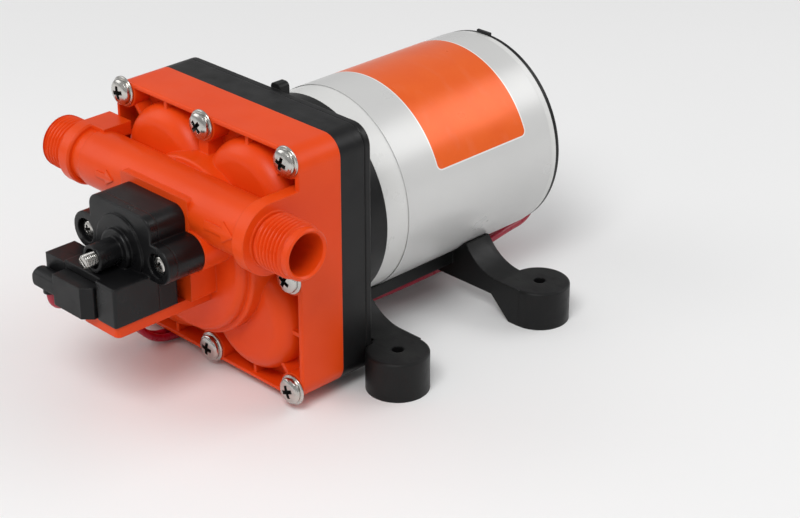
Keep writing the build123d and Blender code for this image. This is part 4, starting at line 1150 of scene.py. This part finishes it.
@dataclass
class PressureSwitch:
    """The switch's screws and its slotted, threaded adjusting screw."""

    shop: Workshop
    axis_z: float = 64.1
    ear_offset: float = 20.5
    ear_floor_y: float = -115.5
    screw_front: float = -134.7
    screw_length: float = 12.4
    screw_radius: float = 2.6
    root_radius: float = 2.05
    thread_pitch: float = 0.7
    slot_width: float = 0.75
    slot_depth: float = 1.2
    slot_turn: float = 35.0
    chamfer: float = 0.45
    crest_share: float = 1.4  # over the thread's depth, so that its crest is flat
    steps_round: int = 40
    steps_per_pitch: int = 6

    def ridge_radius(self, along: float, turn: float) -> float:
        """The adjusting screw's radius at a place.

        Args:
            along: The place along the screw, from its front end.
            turn: The share of a turn.

        Returns:
            The radius in millimetres.
        """
        ridge = 1.0 - abs(2.0 * ((along / self.thread_pitch - turn) % 1.0) - 1.0)
        radius = self.root_radius + (self.screw_radius - self.root_radius) * min(1.0, self.crest_share * ridge)
        return min(radius, self.screw_radius - self.chamfer + along)

    def adjusting_screw(self) -> None:
        """A set screw with a helical thread and a slot across its end."""
        rearwards = (0.0, 1.0, 0.0)
        place = pointing((0.0, self.screw_front, self.axis_z), rearwards)
        turns = [step / self.steps_round for step in range(self.steps_round)]
        count = int(self.screw_length / self.thread_pitch * self.steps_per_pitch)
        rows = []
        for index in range(count + 1):
            along = self.screw_length * index / count
            rows.append(ring(place, [self.ridge_radius(along, turn) for turn in turns], along))
        start = pointing((0.0, self.screw_front - OVERRUN, self.axis_z), rearwards, self.slot_turn)
        outline = oblong(self.screw_radius + OVERRUN, self.slot_width / 2)
        slot = self.shop.prism(outline, self.slot_depth + OVERRUN, start)
        mesh = self.shop.carve(self.shop.loft(rows), [slot])
        self.shop.piece(
            "slotted_adjusting_screw", mesh, SCREW_STEEL, "adjusting_screw", "bright_steel", "adjusting_screw",
            crease=50.0,
        )

    def dress(self) -> None:
        """Builds the switch's fasteners."""
        self.adjusting_screw()
        CrossHeadScrews(
            self.shop, "switch_screws",
            [(x, self.ear_floor_y, self.axis_z) for x in (-self.ear_offset, self.ear_offset)], (0.0, -1.0, 0.0),
            head_radius=3.25, head_height=1.8, shank_radius=1.5, length=18.9, recess_length=3.7, recess_width=1.1,
            recess_depth=1.4, turns=(20.0, 60.0),
        ).dress()


# The leads


@dataclass
class Leads:
    """Two insulated leads held from the switch, under the saddle and round to the grommet."""

    shop: Workshop
    routes: dict[str, list[Point]]
    radius: float = 1.5
    order: int = 3
    steps_along: int = 12
    steps_round: int = 5

    def dress(self) -> None:
        """Builds each lead as a smooth round tube along its route."""
        for node, route in self.routes.items():
            curve = bpy.data.curves.new(f"insulated_{node}", "CURVE")
            curve.dimensions = "3D"
            spline = curve.splines.new("NURBS")
            spline.points.add(len(route) - 1)
            for control, point in zip(spline.points, route):
                control.co = (*metres(point), 1.0)
            spline.order_u = self.order
            spline.use_endpoint_u = True
            spline.resolution_u = self.steps_along
            curve.bevel_depth = self.radius * MM
            curve.bevel_resolution = self.steps_round
            curve.use_fill_caps = True
            curve.materials.append(LEAD_INSULATION.material())
            made = stand(f"insulated_{node}", curve)
            self.shop.fit(made, "pump_body", "red_lead", node)
            LOG.info("made %s along %d points", made.name, len(route))


# Under the saddle and round to the grommet both leads run side by side, at these places along Y and Z
REAR_RUN = [
    (44.0, 7.2), (61.5, 9.4), (73.0, 11.2), (83.1, 12.0), (89.0, 17.9), (89.0, 26.1), (83.1, 32.0), (75.0, 32.0),
]
MOTOR_LEAD_ROUTE: list[Point] = [
    (-21.4, -135.0, 44.65), (-21.4, -135.0, 39.0), (-23.0, -125.0, 35.5), (-25.5, -110.0, 29.0),
    (-27.5, -97.0, 19.0), (-28.0, -86.0, 1.95), (-25.0, -71.0, 1.95), (-16.5, -58.0, 1.95), (-4.0, -38.0, 1.95),
    (10.0, -18.0, 5.8), (14.0, 0.0, 7.2), (14.3, 22.0, 7.2), *((14.0, y, z) for y, z in REAR_RUN),
]
SUPPLY_LEAD_ROUTE: list[Point] = [
    (-25.4, -127.6, 47.5), (-25.4, -127.6, 42.0), (-27.5, -118.0, 37.5), (-30.0, -105.0, 29.5),
    (-31.5, -95.5, 18.5), (-32.0, -86.0, 1.95), (-29.5, -70.5, 1.95), (-21.0, -56.5, 1.95), (-8.5, -37.0, 1.95),
    (5.5, -17.5, 5.8), (10.0, 0.0, 7.2), (9.7, 22.0, 7.2), *((10.0, y, z) for y, z in REAR_RUN),
]


# The room


@dataclass
class Studio:
    """A pale floor, soft lamps and the camera at the photograph's angle."""

    camera_place: Point = (0.5283, -0.5011, 0.3863)
    camera_back: Point = (0.63357, -0.62798, 0.45190)
    lens: float = 90.83
    sensor_width: float = 36.0
    clip_start: float = 0.01
    lamp_aim: Point = (0.0, -0.02, 0.05)
    floor_half: float = 4.0
    floor_colour: Colour = (0.90, 0.90, 0.90)
    floor_cloud: float = 300.0
    floor_dimmer: float = 0.985
    floor_roughness: float = 0.75
    air_strength: float = 0.44

    def aimed(self, place: Point, back: Sequence[float]) -> Matrix:
        """The matrix of a lamp or camera at a place in metres, looking along its own -Z, away from its back."""
        return Matrix.Translation(Vector(place)) @ Vector(back).to_track_quat("Z", "Y").to_matrix().to_4x4()

    def camera(self) -> None:
        """The camera, with no shift and no blur of distance."""
        data = bpy.data.cameras.new("studio_camera")
        data.lens = self.lens
        data.sensor_width = self.sensor_width
        data.clip_start = self.clip_start
        camera = stand("studio_camera", data)
        camera.matrix_world = self.aimed(self.camera_place, self.camera_back)
        bpy.context.scene.camera = camera

    def floor(self) -> None:
        """The floor, a wide sheet of matt paper."""
        build = bmesh.new()
        corners = oblong(self.floor_half, self.floor_half)
        build.faces.new([build.verts.new((x, y, 0.0)) for x, y in corners])
        mesh = bpy.data.meshes.new("paper_floor")
        build.to_mesh(mesh)
        build.free()
        graph = MaterialGraph("floor_paper")
        cloud = graph.remap(graph.noise(self.floor_cloud), SHINE_SPAN)
        second = tuple(share * self.floor_dimmer for share in self.floor_colour)
        graph.join(graph.mix(cloud, self.floor_colour, second), graph.shader.inputs["Base Color"])
        graph.shader.inputs["Roughness"].default_value = self.floor_roughness
        mesh.materials.append(graph.material)
        floor = stand("paper_floor", mesh)
        floor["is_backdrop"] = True

    def lamp(self, name: str, place: Point, size: tuple[float, float], power: float) -> None:
        """A soft rectangular lamp turned to the pump.

        Args:
            name: The lamp's name.
            place: Where it hangs, in metres.
            size: Its width and height, in metres.
            power: Its power in watts.
        """
        data = bpy.data.lights.new(name, "AREA")
        data.shape = "RECTANGLE"
        data.size, data.size_y = size
        data.energy = power
        lamp = stand(name, data)
        lamp.matrix_world = self.aimed(place, Vector(place) - Vector(self.lamp_aim))

    def world(self) -> None:
        """An even pale surround."""
        world = bpy.data.worlds.new("studio_air")
        world.use_nodes = True
        air = world.node_tree.nodes["Background"]
        air.inputs["Color"].default_value = (1.0, 1.0, 1.0, 1.0)
        air.inputs["Strength"].default_value = self.air_strength
        bpy.context.scene.world = world

    def dress(self) -> None:
        """Sets up the room."""
        bpy.context.scene.view_settings.view_transform = "Standard"
        self.camera()
        self.floor()
        self.world()
        self.lamp("key_lamp", place=(0.45, -0.85, 1.2), size=(0.6, 0.6), power=11.0)
        self.lamp("left_lamp", place=(-1.0, -0.7, 0.8), size=(0.8, 1.0), power=4.0)
        self.lamp("rear_lamp", place=(0.6, 1.0, 0.9), size=(1.0, 0.6), power=5.0)


class PumpLooks:
    """The whole pump: every sub-assembly, and a finish on each CAD node that stays."""

    def __init__(self, shop: Workshop) -> None:
        """Keeps the workshop and makes the sub-assemblies.

        Args:
            shop: The workshop with the loaded frame.
        """
        self.shop = shop
        leads = Leads(shop, {"motor_lead": MOTOR_LEAD_ROUTE, "supply_lead": SUPPLY_LEAD_ROUTE})
        self.parts = [Head(shop), Motor(shop), PressureSwitch(shop), leads]

    def finish_nodes(self) -> None:
        """Gives every CAD node its material."""
        for finish, nodes in NODE_FINISHES.items():
            for node in nodes:
                mesh = self.shop.frame["nodes"][node].data
                mesh.materials.clear()
                mesh.materials.append(finish.material())

    def dress(self) -> None:
        """Dresses the nodes and builds every sub-assembly in order."""
        self.finish_nodes()
        for part in self.parts:
            LOG.info("dressing %s", type(part).__name__)
            part.dress()


def main() -> None:
    """Builds the room and the pump, and reports each piece."""
    logging.basicConfig(level=logging.INFO, format="%(name)s: %(message)s")
    shop = Workshop()
    Studio().dress()
    PumpLooks(shop).dress()
    LOG.info("the pump is dressed")


if __name__ == "__main__":
    main()
